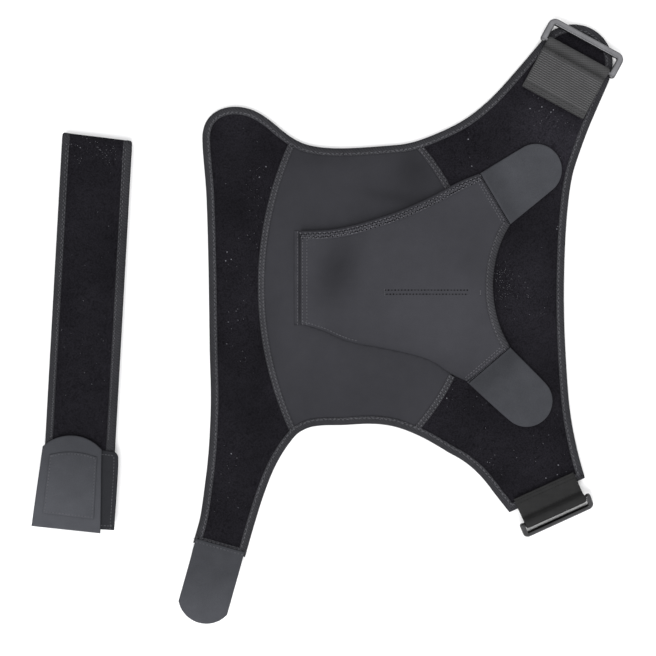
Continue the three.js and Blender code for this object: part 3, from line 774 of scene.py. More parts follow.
def rib_height(nodes: Nodes, place: Socket, scale: Socket) -> Socket:
    """Warp threads that run along a webbing, crossed by its weft."""
    warp, weft = (nodes.bands(place, scale, way, 0.8) for way in "XY")
    crossed = nodes.math("MAXIMUM", nodes.math("MULTIPLY", warp, 0.7), weft)
    return nodes.math("ADD", crossed, nodes.math("MULTIPLY", nodes.noise(place, 1800.0), 0.5))


def mottle(nodes: Nodes, place: Socket, broad: Socket, close: Socket) -> dict[str, Socket]:
    """Slow light and dark over the cloth, from handling and dye."""
    parts = (nodes.noise(place, broad, 3.0), 0.65), (nodes.noise(place, close), 0.35)
    return {"Shade": nodes.math("ADD", *(nodes.math("MULTIPLY", part, share) for part, share in parts))}


def lint_bits(nodes: Nodes, place: Socket, scale: Socket, size: Socket) -> dict[str, Socket]:
    """Tiny pale bits of fluff caught in the cloth, more of them in some places."""
    bits = nodes.add("ShaderNodeTexVoronoi", {"Vector": place, "Scale": scale}).outputs["Distance"]
    some = nodes.spread(nodes.noise(place, 34.0), 0.56, 0.66)
    return {"Mask": nodes.math("MULTIPLY", nodes.math("LESS_THAN", bits, size), some)}


class ClothGroups:
    """The shader groups that the cloths share, each built once."""

    def __init__(self) -> None:
        """Builds every group."""
        self.mottle = shader_group("cloth_mottle", {"Broad": 18.0, "Close": 140.0}, mottle)
        self.lint = shader_group("lint_bits", {"Scale": 240.0, "Size": 0.1}, lint_bits)
        self.faces = {
            Grain.PILE: self.face("pile_face", -0.6, 0.5, pile_height),
            Grain.KNIT: self.face("knit_face", 0.2, 1.4, knit_height),
            Grain.TWILL: self.face("twill_face", 0.3, 1.5, twill_height),
            Grain.RIB: self.face("rib_face", 0.3, 1.3, rib_height),
        }

    @staticmethod
    def face(name: str, hollow: float, crest: float, height: Callable) -> bpy.types.NodeTree:
        """The group of one cloth face, which gives its height, and its painted shade, from dark in the hollows to
        light on the crests.
        """

        def make(nodes: Nodes, place: Socket, scale: Socket) -> dict[str, Socket]:
            """The group's outputs."""
            made = height(nodes, place, scale)
            return {"Height": made, "Shade": nodes.spread(made, hollow, crest)}

        return shader_group(name, {"Scale": 400.0}, make)


def new_material(name: str) -> tuple[bpy.types.Material, Nodes, Socket]:
    """A new material, its nodes and its Object coordinates."""
    made = bpy.data.materials.new(name)
    made.use_nodes = True
    nodes = Nodes(made.node_tree)
    return made, nodes, nodes.add("ShaderNodeTexCoord").outputs["Object"]


@dataclass(frozen=True)
class ClothFinish:
    """The look of one cloth: its grain, its shades from painted shade in the hollows to painted light on the
    threads' tops, and its nap.
    """

    name: str
    grain: Grain
    # deep and pale: the colours in the hollows and on the threads' tops, which are painted shade and painted light
    deep: str
    shade: str
    pale: str
    scale: float
    bump: float
    lint: float = 0.0
    mottle: float = 0.25
    roughness: float = 0.92
    body_share: float = 0.55
    lint_shade: str = "#9a9ba2"
    specular: float = 0.03

    def material(self, groups: ClothGroups) -> bpy.types.Material:
        """The finish as a material.

        Args:
            groups: The shader groups it is put together from.

        Returns:
            The material, which reads Object coordinates and the tone painted on the piece, with the painted light
            and shade that tone holds on some pieces.
        """
        made, nodes, place = new_material(self.name)
        face = nodes.group(groups.faces[self.grain], place, Scale=self.scale)
        # The grain's colour, with painted shade in its hollows and painted light on its crests
        threads = nodes.mix(face["Shade"], linear(self.deep), linear(self.pale))
        body = nodes.mix(self.body_share, threads, linear(self.shade))
        slow = nodes.group(groups.mottle, place)["Shade"]
        toned = nodes.toned(body, nodes.spread(slow, 0.3, 0.7, 1 - self.mottle, 1 + self.mottle))
        specks = nodes.math("MULTIPLY", nodes.group(groups.lint, place)["Mask"], self.lint)
        relief = {"Strength": 0.9, "Distance": self.bump * MM, "Height": face["Height"]}
        nodes.surface({
            "Base Color": nodes.mix(specks, toned, linear(self.lint_shade)),
            "Roughness": nodes.spread(face["Shade"], 0.0, 1.0, self.roughness + 0.05, self.roughness - 0.05),
            "Specular IOR Level": self.specular,
            "Normal": nodes.add("ShaderNodeBump", relief).outputs[0],
        })
        return made


@dataclass(frozen=True)
class GlossFinish:
    """A lacquered ring: its shades, its gloss, its rubbed patches, and the painted highlight on its tops and
    painted shade on its sides that its tone carries.
    """

    name: str
    shade: str
    worn: str
    roughness: float
    metallic: float
    wear: float = 0.35
    grain_depth: float = 0.03
    coat: float = 0.15
    coat_roughness: float = 0.12

    def material(self, groups: ClothGroups) -> bpy.types.Material:
        """The finish as a material.

        Args:
            groups: The shader groups it is put together from.

        Returns:
            The material.
        """
        made, nodes, place = new_material(self.name)
        slow = nodes.group(groups.mottle, place, Broad=120.0, Close=900.0)["Shade"]
        rub = nodes.math("MULTIPLY", nodes.spread(slow, 0.42, 0.62), self.wear)
        relief = {"Strength": 0.25, "Distance": self.grain_depth * MM, "Height": nodes.noise(place, 1600.0)}
        nodes.surface({
            # Times the tone, which holds the painted highlight along the ring's tops and the painted shade down
            # its sides
            "Base Color": nodes.toned(nodes.mix(rub, linear(self.shade), linear(self.worn))),
            "Roughness": nodes.spread(slow, 0.35, 0.65, self.roughness * 0.8, self.roughness * 1.5),
            "Metallic": self.metallic,
            "Coat Weight": self.coat,
            "Coat Roughness": self.coat_roughness,
            "Normal": nodes.add("ShaderNodeBump", relief).outputs[0],
        })
        return made


class Finishes:
    """Every finish of the brace, made once."""

    def __init__(self) -> None:
        """Makes the materials."""
        groups = ClothGroups()
        plans = [
            ClothFinish("black_pile", Grain.PILE, "#09080a", "#141317", "#2b2a2f", 900.0, 0.35, lint=0.5),
            ClothFinish("smooth_cup_cloth", Grain.KNIT, "#2a2a2e", "#36363a", "#434347", 800.0, 0.05, mottle=0.08),
            ClothFinish("binding_tape", Grain.TWILL, "#1d1d1f", "#2c2c2f", "#404043", 300.0, 0.12, mottle=0.16),
            ClothFinish("tab_cloth", Grain.KNIT, "#27282c", "#3d3e42", "#595a5e", 520.0, 0.09, mottle=0.12),
            ClothFinish("ribbed_webbing", Grain.RIB, "#232323", "#363635", "#565659", 260.0, 0.15, mottle=0.15),
            ClothFinish("plain_webbing", Grain.RIB, "#191919", "#242424", "#323233", 360.0, 0.08, mottle=0.12),
            ClothFinish("sewing_thread", Grain.TWILL, "#3c3c3f", "#525256", "#6c6c70", 900.0, 0.05),
            # The needle holes: near-black beads as their painted shade
            ClothFinish("needle_hole_shade", Grain.TWILL, "#0a0a0b", "#101011", "#19191a", 900.0, 0.05),
            ClothFinish("lint", Grain.PILE, "#5c5c60", "#76767b", "#98989c", 1500.0, 0.05),
            GlossFinish("grey_ring_gloss", "#4a4a4d", "#68686b", 0.2, 0.3),
            GlossFinish("dark_ring_gloss", "#1f1f21", "#363638", 0.2, 0.25),
        ]
        self.made = {plan.name: plan.material(groups) for plan in plans}

    def dress(self, piece: Piece, name: str) -> None:
        """Gives a piece one finish all over."""
        piece.data.materials.clear()
        piece.data.materials.append(self.made[name])


# Sewing, fluff and ribs, which geometry nodes repeat


class Repeater:
    """A geometry node tree with named inputs, which makes a plain mesh of what it repeats."""

    def __init__(self, name: str, inputs: dict[str, str]) -> None:
        """Starts the tree with its inputs, each with the kind of its socket."""
        self.tree = bpy.data.node_groups.new(name, "GeometryNodeTree")
        new_socket = self.tree.interface.new_socket
        self.sockets = {
            label: new_socket(name=label, in_out="INPUT", socket_type="NodeSocket" + kind).identifier
            for label, kind in inputs.items()
        }
        new_socket(name="Geometry", in_out="OUTPUT", socket_type="NodeSocketGeometry")
        self.nodes = Nodes(self.tree)
        self.given = self.nodes.add("NodeGroupInput").outputs

    def bead(self, rings: int, length: Socket, width: Socket, press: float) -> Socket:
        """A little ball drawn out to a length and width, and pressed flat."""
        ball = self.nodes.add("GeometryNodeMeshUVSphere", {"Segments": rings + 2, "Rings": rings, "Radius": 0.5})
        size = {0: length, 1: width, 2: self.nodes.math("MULTIPLY", width, press)}
        scale = self.nodes.add("ShaderNodeCombineXYZ", size).outputs[0]
        return self.nodes.add("GeometryNodeTransform", {"Geometry": ball.outputs[0], "Scale": scale}).outputs[0]

    def uneven(self, low: float, high: float) -> Socket:
        """A random number for each repeat, from the tree's seed."""
        span = {2: low, 3: high, "Seed": self.given["Seed"]}
        return self.nodes.add("FunctionNodeRandomValue", span, data_type="FLOAT").outputs[1]

    def placed(self, points: Socket, shape: Socket, finish: Socket, **more: Socket) -> Socket:
        """A shape at each point, realised and in its finish."""
        inputs = {"Points": points, "Instance": shape, **more}
        laid = self.nodes.add("GeometryNodeInstanceOnPoints", inputs).outputs[0]
        whole = self.nodes.add("GeometryNodeRealizeInstances", {"Geometry": laid}).outputs[0]
        return self.nodes.add("GeometryNodeSetMaterial", {"Geometry": whole, "Material": finish}).outputs[0]

    def run(self, piece: Piece, values: dict[str, object], tone: float = 1.0) -> Piece:
        """Makes the piece what the tree makes of it.

        Args:
            piece: The piece whose mesh the tree reads.
            values: The tree's inputs by name.
            tone: The tone that is painted on the result.

        Returns:
            The piece, with a plain mesh.
        """
        repeat = piece.modifiers.new(self.tree.name, "NODES")
        repeat.node_group = self.tree
        for label, value in values.items():
            repeat[self.sockets[label]] = value
        evaluated(piece)
        paint(piece, "tone", tone)
        return piece


@dataclass(frozen=True)
class Stitch:
    """The sizes of the stitches in a row, and their thread."""

    pitch: float = 2.9
    length: float = 2.0
    width: float = 0.5
    hole: float = 0.55
    thread: str = "sewing_thread"


class StitchRows(Repeater):
    """Rows of thread laid along lines, with a near-black bead between two stitches as the painted shade of a
    needle hole.
    """

    def __init__(self, finishes: Finishes) -> None:
        """Builds the node tree."""
        self.finishes = finishes
        super().__init__("stitch_rows", {
            "Geometry": "Geometry", "Pitch": "Float", "Stitch Length": "Float", "Stitch Width": "Float",
            "Hole Width": "Float", "Seed": "Int", "Thread": "Material", "Hole": "Material",
        })
        nodes, given = self.nodes, self.given
        curve = nodes.add("GeometryNodeMeshToCurve", {"Mesh": given["Geometry"]}).outputs[0]
        step = {"Curve": curve, "Length": nodes.math("MULTIPLY", given["Pitch"], 0.5)}
        steps = nodes.add("GeometryNodeResampleCurve", step, mode="LENGTH").outputs[0]
        odd = nodes.math("MODULO", nodes.add("GeometryNodeInputIndex").outputs[0], 2.0)
        tangent = nodes.add("GeometryNodeInputTangent").outputs[0]
        turn = nodes.add("FunctionNodeAlignRotationToVector", {"Vector": tangent}, axis="X").outputs[0]
        size = self.uneven(0.85, 1.15)
        both = nodes.add("GeometryNodeJoinGeometry")
        for share, length, width, finish in [
            (nodes.math("SUBTRACT", 1.0, odd), given["Stitch Length"], given["Stitch Width"], given["Thread"]),
            # The needle hole: a dark bead as its painted shade
            (odd, given["Hole Width"], given["Hole Width"], given["Hole"]),
        ]:
            bead = self.bead(4, length, width, 0.7)
            part = self.placed(steps, bead, finish, Selection=share, Rotation=turn, Scale=size)
            self.tree.links.new(part, both.inputs[0])
        nodes.add("NodeGroupOutput", {"Geometry": both.outputs[0]})

    def sew(self, name: str, lines: Sequence[Line], stitch: Stitch, seed: int) -> Piece:
        """Sews along lines.

        Args:
            name: The piece's name.
            lines: The lines, each with three numbers a point.
            stitch: The stitches' sizes and thread.
            seed: The seed of what is uneven in them.

        Returns:
            The stitches as one mesh.
        """
        points, edges = [], []
        for line in lines:
            first = sum(map(len, points))
            points.append(line)
            edges += [(first + i, first + i + 1) for i in range(len(line) - 1)]
        mesh = bpy.data.meshes.new(name)
        mesh.from_pydata((np.vstack(points) * MM).tolist(), edges, [])
        return self.run(linked(name, mesh), {
            "Pitch": stitch.pitch * MM,
            "Stitch Length": stitch.length * MM,
            "Stitch Width": stitch.width * MM,
            "Hole Width": stitch.hole * MM,
            "Seed": seed,
            "Thread": self.finishes.made[stitch.thread],
            "Hole": self.finishes.made["needle_hole_shade"],
        })


class LintScatter(Repeater):
    """Bits of fluff strewn over the pile, where its lint is painted."""

    density = 120000.0
    bit_length = 0.55

    def __init__(self, finishes: Finishes) -> None:
        """Builds the node tree."""
        self.finishes = finishes
        super().__init__("lint_scatter", {
            "Geometry": "Geometry", "Density": "Float", "Bit Length": "Float", "Seed": "Int", "Fluff": "Material",
        })
        nodes, given = self.nodes, self.given
        where = nodes.add("GeometryNodeInputNamedAttribute", {"Name": "lint"}, data_type="FLOAT").outputs[0]
        density = nodes.math("MULTIPLY", where, given["Density"])
        cover = {"Mesh": given["Geometry"], "Density": density, "Seed": given["Seed"]}
        strewn = nodes.add("GeometryNodeDistributePointsOnFaces", cover).outputs[0]
        bit = self.bead(3, given["Bit Length"], nodes.math("MULTIPLY", given["Bit Length"], 0.55), 0.6)
        spin = {0: (0, 0, 0), 1: (0, 0, 6.283), "Seed": given["Seed"]}
        turn = nodes.add("FunctionNodeRandomValue", spin, data_type="FLOAT_VECTOR").outputs[0]
        dyed = self.placed(strewn, bit, given["Fluff"], Rotation=turn, Scale=self.uneven(0.45, 1.25))
        nodes.add("NodeGroupOutput", {"Geometry": dyed})

    def strew(self, name: str, cloth: Piece, seed: int) -> Piece:
        """Strews fluff over a cloth that has its lint painted on.

        Args:
            name: The piece's name.
            cloth: The cloth.
            seed: The scatter's seed.

        Returns:
            The bits as one mesh.
        """
        fluff = {"Fluff": self.finishes.made["lint"], "Density": self.density, "Seed": seed}
        return self.run(linked(name, cloth.data.copy()), {**fluff, "Bit Length": self.bit_length * MM})


class RibRow(Repeater):
    """Round ribs across a webbing, one behind the other."""

    def __init__(self) -> None:
        """Builds the node tree."""
        super().__init__("webbing_ribs", {
            "Width": "Float", "Pitch": "Float", "Count": "Int", "Rib Radius": "Float", "Cloth": "Material",
        })
        nodes, given = self.nodes, self.given
        half = nodes.math("MULTIPLY", given["Width"], 0.5)
        start, end = (nodes.add("ShaderNodeCombineXYZ", {0: nodes.math("MULTIPLY", half, side)}).outputs[0]
                      for side in (-1.0, 1.0))
        line = nodes.add("GeometryNodeCurvePrimitiveLine", {"Start": start, "End": end}).outputs[0]
        fine = nodes.add("GeometryNodeResampleCurve", {"Curve": line, "Count": 20}, mode="COUNT").outputs[0]
        section = {"Resolution": 6, "Radius": given["Rib Radius"]}
        circle = nodes.add("GeometryNodeCurvePrimitiveCircle", section).outputs[0]
        swept_rib = {"Curve": fine, "Profile Curve": circle, "Fill Caps": True}
        rib = nodes.add("GeometryNodeCurveToMesh", swept_rib).outputs[0]
        step = nodes.add("ShaderNodeCombineXYZ", {1: given["Pitch"]}).outputs[0]
        places = nodes.add("GeometryNodeMeshLine", {"Count": given["Count"], "Offset": step}).outputs[0]
        nodes.add("NodeGroupOutput", {"Geometry": self.placed(places, rib, given["Cloth"])})


# What the sub-assemblies share


@dataclass
class Workshop:
    """The finishes, the sewing and the surface that every sub-assembly uses."""

    finishes: Finishes
    stitches: StitchRows
    lint: LintScatter
    cup: CupSurface = field(default_factory=CupSurface)

    def mount(
        self, piece: Piece, slot: Slot, nodes: Sequence[str] = (), finish: str = "", body: Body = Body.BRACE
    ) -> Piece:
        """Sets a piece on its body, in its finish, in place of its CAD nodes.

        Args:
            piece: The piece.
            slot: The record's slot that its finish comes from; not used.
            nodes: The CAD nodes it stands for.
            finish: Its finish, or nothing where it already has one.
            body: The body it rides on.

        Returns:
            The piece.
        """
        if finish:
            self.finishes.dress(piece, finish)
        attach(piece, body.value)
        if nodes:
            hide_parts(*nodes)
        log.info("%s: %d faces", piece.name, len(piece.data.polygons))
        return piece

    def lay(self, layer: ClothLayer, slot: Slot, node: str, finish: str, rests_on: Sequence[str]) -> Piece:
        """Sets a sheet of cloth in place of its CAD node.

        Args:
            layer: The sheet.
            slot: The record's slot that its finish comes from.
            node: The CAD node it stands for.
            finish: Its finish.
            rests_on: What it lies on; not used.

        Returns:
            The piece.
        """
        piece = self.mount(layer.build(), slot, [node], finish)
        cut_size(layer.loop)
        layer.area
        return piece

    def sew(self, name: str, lines: Sequence[Line], slot: Slot, seed: int, stitch: Stitch = Stitch()) -> None:
        """Sews along lines and sets the stitches on the brace."""
        self.mount(self.stitches.sew(name, lines, stitch, seed), slot)

    def strew(self, name: str, cloth: Piece, amount: Field, seed: int) -> None:
        """Strews fluff on the upper side of a cloth.

        Args:
            name: The name of the fluff.
            cloth: The cloth.
            amount: How much fluff there is at points with three numbers each.
            seed: The scatter's seed.
        """
        facing_up = np.array([v.normal[2] for v in cloth.data.vertices]) > 0.5
        paint(cloth, "lint", amount(vertex_points(cloth)) * facing_up)
        self.mount(self.lint.strew(name, cloth, seed), Slot.PILE)


def over(line: Line, surface: Field, level: float, inward: float = 0.0, closed: bool = False) -> Line:
    """A line in plan, moved to its left and laid a level over a surface, with three numbers a point."""
    moved = line + sideways(line, closed) * inward
    if closed:
        moved = np.vstack([moved, moved[:1]])
    return np.column_stack([moved, surface(moved) + level])


def zigzag(line: Line, surface: Field, level: float, near: float, far: float, step: float) -> Line:
    """A line that goes to and fro between two distances to the left of another."""
    stops = even_steps(line, step)
    shift = np.where(np.arange(len(stops)) % 2 == 0, near, far)
    moved = stops + sideways(stops, False) * shift[:, None]
    return np.column_stack([moved, surface(moved) + level])


def straight(start: Sequence[float], end: Sequence[float], count: int) -> Line:
    """Points along a straight."""
    return np.linspace(start, end, count)


# Sub-assemblies


@dataclass
class BodyPanels:
    """The cuff, the shoulder cup and the chest panel, with their binding and the tapes over their seams."""

    shop: Workshop
    panel_low: float = 0.9
    panel_top: float = 3.9
    binding_width: float = 5.8
    binding_top: float = 4.8
    tape_width: float = 5.0
    tape_low: float = 3.95
    tape_top: float = 4.7
    swell_height: float = 0.22
    pucker_depth: float = 0.2
    pucker_length: float = 6.5
    cuff_seam_centre: float = 200.83
    chest_seam_centre: float = -50.34
    bare_lint: float = 0.012
    outline: Line = field(default_factory=lambda: cloth_loop("edge_binding", TAPE_STEP))

    def build(self) -> None:
        """Builds and dresses the panels, the binding and the tapes."""
        self.build_panels()
        self.build_binding()
        self.build_seams()

    def from_edge(self, points: Line) -> np.ndarray:
        """How far points are from the outline."""
        return nearest(points, self.outline, closed=True)[0]

    def relief(self, points: Line) -> np.ndarray:
        """The cloth's own soft waves, and the puckers that its edge sewing pulls in."""
        away, along = nearest(points, self.outline, closed=True)
        pull = bell(away - self.binding_width, 3.5)
        pucker = np.sin(along * 2 * math.pi / self.pucker_length + 1.5 * swell(points, 60, 5))
        waves = self.swell_height * swell(points, 55, 3) + 0.1 * swell(points, 17, 4)
        return waves - self.pucker_depth * pull * (0.6 + 0.4 * pucker)

    def build_panels(self) -> None:
        """The three panels, each a sheet laid on the table."""
        for name, node, finish, slot, tone, fluff, seed in [
            ("cuff", "cuff_panel", "black_pile", Slot.PILE, self.pile_tone, CUFF_LINT, 11),
            ("cup", "centre_panel", "smooth_cup_cloth", Slot.SMOOTH, self.cup_tone, (), 0),
            ("chest", "chest_panel", "black_pile", Slot.PILE, self.pile_tone, CHEST_LINT, 12),
        ]:
            layer = ClothLayer(
                name + "_cloth", cloth_loop(node, PANEL_STEP), self.panel_low, self.panel_top,
                self.shop.cup.height, relief=self.relief, tone=tone,
            )
            piece = self.shop.lay(layer, slot, node, finish, ["floor"])
            if fluff:
                amount = partial(self.lint_amount, places=fluff)
                self.shop.strew(name + "_lint", piece, amount, seed)

    def lint_amount(self, points: Line, places: Sequence[Oval]) -> np.ndarray:
        """How much fluff lies on a panel, with none on the binding."""
        clear = self.from_edge(points[:, :2]) > self.binding_width + 0.6
        return (ovals(places, points[:, :2]) + self.bare_lint) * clear

    def pile_tone(self, points: Line) -> np.ndarray:
        """Light and dark over the pile, a little flattened next to the binding."""
        flattened = 0.1 * np.exp(-self.from_edge(points) / 9)
        return 0.86 + 0.12 * swell(points, 48, 21) + flattened + ovals(PILE_TONES, points)

    def cup_tone(self, points: Line) -> np.ndarray:
        """Light and dark over the cup cloth: a painted shadow of the pad along its edge, strongest by the hem,
        painted shade under the pad, and the painted light and shade of the cup's dome.
        """
        pad = plan_loop("pad_panel")
        away, _ = nearest(points, pad, closed=True)
        hem_shadow_share = eased(points[:, 1], 30, 60)
        # Painted shadow of the pad on the cup cloth next to its edge, stronger on the hem side, and painted shade
        # under the pad
        under = np.where(inside(points, pad), 0.75, 1 - (0.04 + 0.16 * hem_shadow_share) * np.exp(-away / 5))
        return under * (0.78 + 0.03 * swell(points, 60, 22) + ovals(CUP_LIGHT_AND_SHADE, points))

    def build_binding(self) -> None:
        """The tape folded round the whole edge, with its row of stitches and its zigzag."""
        height, width, level = self.shop.cup.height, self.binding_width, self.binding_top - 0.18
        profile = folded_profile(width, 0.0, self.binding_top)
        tape = TapeRun("edge_tape", self.outline, profile, height, closed=True, seed=31)
        self.shop.mount(tape.build(), Slot.TAPE, ["edge_binding"], "binding_tape")
        row = over(self.outline, height, level, width * 0.74, closed=True)
        self.shop.sew("edge_stitches", [row], Slot.TAPE, 32, Stitch(pitch=3.1))
        around = np.vstack([self.outline, self.outline[:1]])
        cover = zigzag(around, height, level + 0.02, width * 0.62, width * 0.9, 1.9)
        self.shop.sew("edge_cover_stitches", [cover], Slot.TAPE, 33, Stitch(1.95, 1.7, 0.36, 0.3))

    def build_seams(self) -> None:
        """The tapes over the seams, each with two rows of stitches."""
        height = self.shop.cup.height
        for name, node, centre, tone, seed in [
            ("cuff_seam", "cuff_seam_tape", self.cuff_seam_centre, 1.25, 41),
            ("chest_seam_top", "chest_seam_tape_upper", self.chest_seam_centre, 1.1, 42),
            ("chest_seam_foot", "chest_seam_tape_lower", self.chest_seam_centre, 1.1, 43),
        ]:
            line = self.middle_of(plan_loop(node), np.array([centre, self.shop.cup.y]))
            profile = flat_profile(self.tape_width, self.tape_low, self.tape_top)
            look = {"pucker": 0.06, "pucker_length": 5, "tone": tone, "seed": seed}
            tape = TapeRun(name + "_cover", line, profile, height, **look)
            self.shop.mount(tape.build(), Slot.TAPE, [node], "binding_tape")
            rows = [over(line, height, self.tape_top - 0.02, side) for side in (-1.25, 1.25)]
            self.shop.sew(name + "_stitches", rows, Slot.TAPE, seed + 10, Stitch(pitch=2.7))

    @staticmethod
    def middle_of(strip: Line, centre: np.ndarray) -> Line:
        """The middle line of a strip that curves round a centre."""
        off = strip - centre
        reach = np.linalg.norm(off, axis=1)
        radius = (reach.min() + reach.max()) / 2
        middle = math.atan2(*off.mean(0)[::-1])
        turn = (np.arctan2(off[:, 1], off[:, 0]) - middle + math.pi) % (2 * math.pi) - math.pi
        angles = np.linspace(turn.min(), turn.max(), 90) + middle
        return even_steps(centre + radius * np.column_stack([np.cos(angles), np.sin(angles)]), TAPE_STEP)


@dataclass(frozen=True)
class TabCloth:
    """How a tab of the pocket lies and looks, by the distance from the line where it is sewn on."""

    root: Line
    level: float
    seed: int

    def from_root(self, points: Line) -> np.ndarray:
        """How far points are from that line."""
        return nearest(points, self.root)[0]

    def tone(self, points: Line) -> np.ndarray:
        """Light and dark, darker near the seam and paler further out, with a painted highlight line along the
        seam's rise.
        """
        away = self.from_root(points)
        # A painted highlight line just off the seam, where the cloth rises
        paler = 0.12 * bell(away - 1.6, 0.9) + 0.26 * eased(away, 4, 24)
        return self.level * (0.84 + paler + 0.03 * swell(points, 16, self.seed))

    def relief(self, points: Line) -> np.ndarray:
        """Soft waves, and the rise at the seam."""
        return 0.12 * swell(points, 19, self.seed + 1) + 0.7 * np.exp(-self.from_root(points) / 4)

    def softness(self, points: Line) -> np.ndarray:
        """How wide the edge is rounded, which is tight at the seam."""
        return 1 - 0.6 * bell(self.from_root(points), 3)


@dataclass
class PadPocket:
    """The padded pocket over the cup, with its hem, its sewn side, its bound hollow and its two tabs."""

    shop: Workshop
    low: float = 4.6
    high: float = 7.5
    edge: float = 2.6
    hem_width: float = 6.6
    binding_width: float = 5.8
    tape_low: float = 4.3
    tape_top: float = 8.4
    tape_outward: float = 0.9
    band_low: float = 3.95
    band_top: float = 4.75
    crown: float = 0.5
    tab_low: float = 4.2
    tab_top: float = 6.3
    foot_drop: float = 1.4
    root_seam_level: float = 6.75
    dart_inner: float = 40.8
    dart_outer: float = 99.1
    dart_level: float = 21.05

    def build(self) -> None:
        """Builds and dresses the pocket."""
        runs = runs_between_corners(plan_loop("pad_panel"), TAPE_STEP)
        first = min(range(len(runs)), key=lambda i: runs[i].mean(0)[0])
        runs = runs[first:] + runs[:first]
        self.left, self.foot, self.lower_root, self.hollow, self.upper_root, self.top = runs
        self.loop = joined(runs)
        self.build_pad()
        self.build_edges()
        self.build_tabs()
        self.build_stitches()

    def relief(self, points: Line) -> np.ndarray:
        """The pad's crown, and the soft dents in it."""
        away, _ = nearest(points, self.loop, closed=True)
        return self.crown * (1 - np.exp(-away / 14)) + 0.16 * swell(points, 42, 51) + ovals(PAD_DENTS, points)

    def tone(self, points: Line) -> np.ndarray:
        """Light and dark over the pad: darker towards its foot, and the painted light and shade of its crown and
        its dents.
        """
        away, _ = nearest(points, self.foot)
        start = self.foot[:, 0].min()
        fade = 0.25 * np.exp(-away / 14) * eased(points[:, 0], start + 4, start + 30)
        return 1.02 - fade + 0.025 * swell(points, 50, 52) + ovals(PAD_LIGHT_AND_SHADE, points)

    def seat(self, points: Line) -> np.ndarray:
        """The surface that the pad lies on, with its foot drawn down to the cup."""
        away, _ = nearest(points, self.foot)
        return self.shop.cup.height(points) - self.foot_drop * np.exp(-away / 2.5)

    def softness(self, points: Line) -> np.ndarray:
        """How wide the pad's edge is rounded: wide along its foot, tight where the tabs are sewn on."""
        foot, *roots = (nearest(points, line)[0] for line in (self.foot, self.upper_root, self.lower_root))
        return 1 + 2.0 * bell(foot, 7) - 0.7 * bell(np.minimum(*roots), 3)

    def build_pad(self) -> None:
        """The padded panel."""
        layer = ClothLayer(
            "pad", self.loop, self.low, self.high, self.seat, spacing=1.8, edge=self.edge,
            relief=self.relief, tone=self.tone, softness=self.softness,
        )
        piece = self.shop.mount(layer.build(), Slot.SMOOTH, ["pad_panel"], "smooth_cup_cloth")

    def build_edges(self) -> None:
        """The hem, the bound hollow and the sewn side."""
        height = self.shop.cup.height
        side = plan_loop("pad_side_band")
        middle = side[:, 0].mean()
        ends = np.array([[middle, side[:, 1].max()], [middle, side[:, 1].min()]])
        hem, bound = (line - sideways(line, False) * self.tape_outward for line in (self.top, self.hollow))
        hem_fold, bound_fold = (
            folded_profile(width, self.tape_low, self.tape_top) for width in (self.hem_width, self.binding_width)
        )
        band = flat_profile(np.ptp(side[:, 0]), self.band_low, self.band_top)
        cloth = Slot.SMOOTH, "smooth_cup_cloth"
        for tape, node, (slot, finish) in [
            (TapeRun("hem", hem, hem_fold, height, pucker=0.1, seed=61), "pad_hem", cloth),
            (TapeRun("hollow_tape", bound, bound_fold, height, tone=1.25, seed=62), "pad_binding",
             (Slot.TAPE, "binding_tape")),
            (TapeRun("side_band", even_steps(ends, TAPE_STEP), band, height, pucker=0.05, seed=63),
             "pad_side_band", cloth),
        ]:
            self.shop.mount(tape.build(), slot, [node], finish)

    def build_tabs(self) -> None:
        """The two fastening tabs."""
        for name, node, root, level, seed in [
            ("upper_tab", "pad_tab_upper", self.upper_root, 0.92, 71),
            ("lower_tab", "pad_tab_lower", self.lower_root, 0.76, 72),
        ]:
            cloth = TabCloth(np.array([root[0], root[-1]]), level, seed)
            layer = ClothLayer(
                name, cloth_loop(node, TAB_STEP), self.tab_low, self.tab_top, self.shop.cup.height, spacing=1.5,
                edge=0.9, relief=cloth.relief, tone=cloth.tone, softness=cloth.softness,
            )
            self.shop.lay(layer, Slot.TAB, node, "tab_cloth", ["chest_cloth"])

    def build_stitches(self) -> None:
        """The hem's cover stitches, the side's rows, the dart and the seams of the tabs."""
        height, sew, on_pad = self.shop.cup.height, self.shop.sew, self.on_pad
        inner, outer, level = self.dart_inner, self.dart_outer, self.dart_level
        roots = self.upper_root, self.lower_root
        hem_level = self.tape_top - 0.08
        hem = [zigzag(self.top, height, hem_level, near, far, 1.7) for near, far in ((0.9, 2.4), (3.2, 4.9))]
        sew("hem_stitches", hem, Slot.SMOOTH, 81, Stitch(2.3, 1.9, 0.75, 1.15))
        hollow = over(self.hollow, height, self.tape_top - 0.16, self.binding_width * 0.62)
        sew("hollow_stitches", [hollow], Slot.TAPE, 82)
        side = [over(self.left, height, self.band_top, -2.2), on_pad(self.left, 1.5), on_pad(self.left, 4.6)]
        foot = on_pad(self.foot[: len(self.foot) // 3], 2.0)
        sew("side_stitches", [*side, foot], Slot.SMOOTH, 83, Stitch(2.4, 1.9, 0.5, 0.4))
        dart = [on_pad(straight((outer, level + off), (inner, level + off), 60)) for off in (-1.45, 1.45)]
        sew("dart_stitches", dart, Slot.SMOOTH, 84, Stitch(2.3, 1.4, 0.4, 1.05, "binding_tape"))
        tacks = [on_pad(straight((x, level - 1.9), (x, level + 1.9), 12)) for x in (inner - 0.5, outer + 9.5)]
        sew("dart_tacks", tacks, Slot.SMOOTH, 86, Stitch(0.9, 0.8, 0.9, 0.6))
        rows = [on_pad(root, inward) for root in roots for inward in (1.8, 3.6)]
        sew("tab_root_stitches", rows, Slot.TAB, 85, Stitch(2.4, 1.9, 0.5, 0.45))
        seams = [over(root, height, self.root_seam_level, -0.15) for root in roots]
        sew("tab_root_seams", seams, Slot.TAB, 87, Stitch(1.3, 1.5, 1.15, 0.9, "smooth_cup_cloth"))

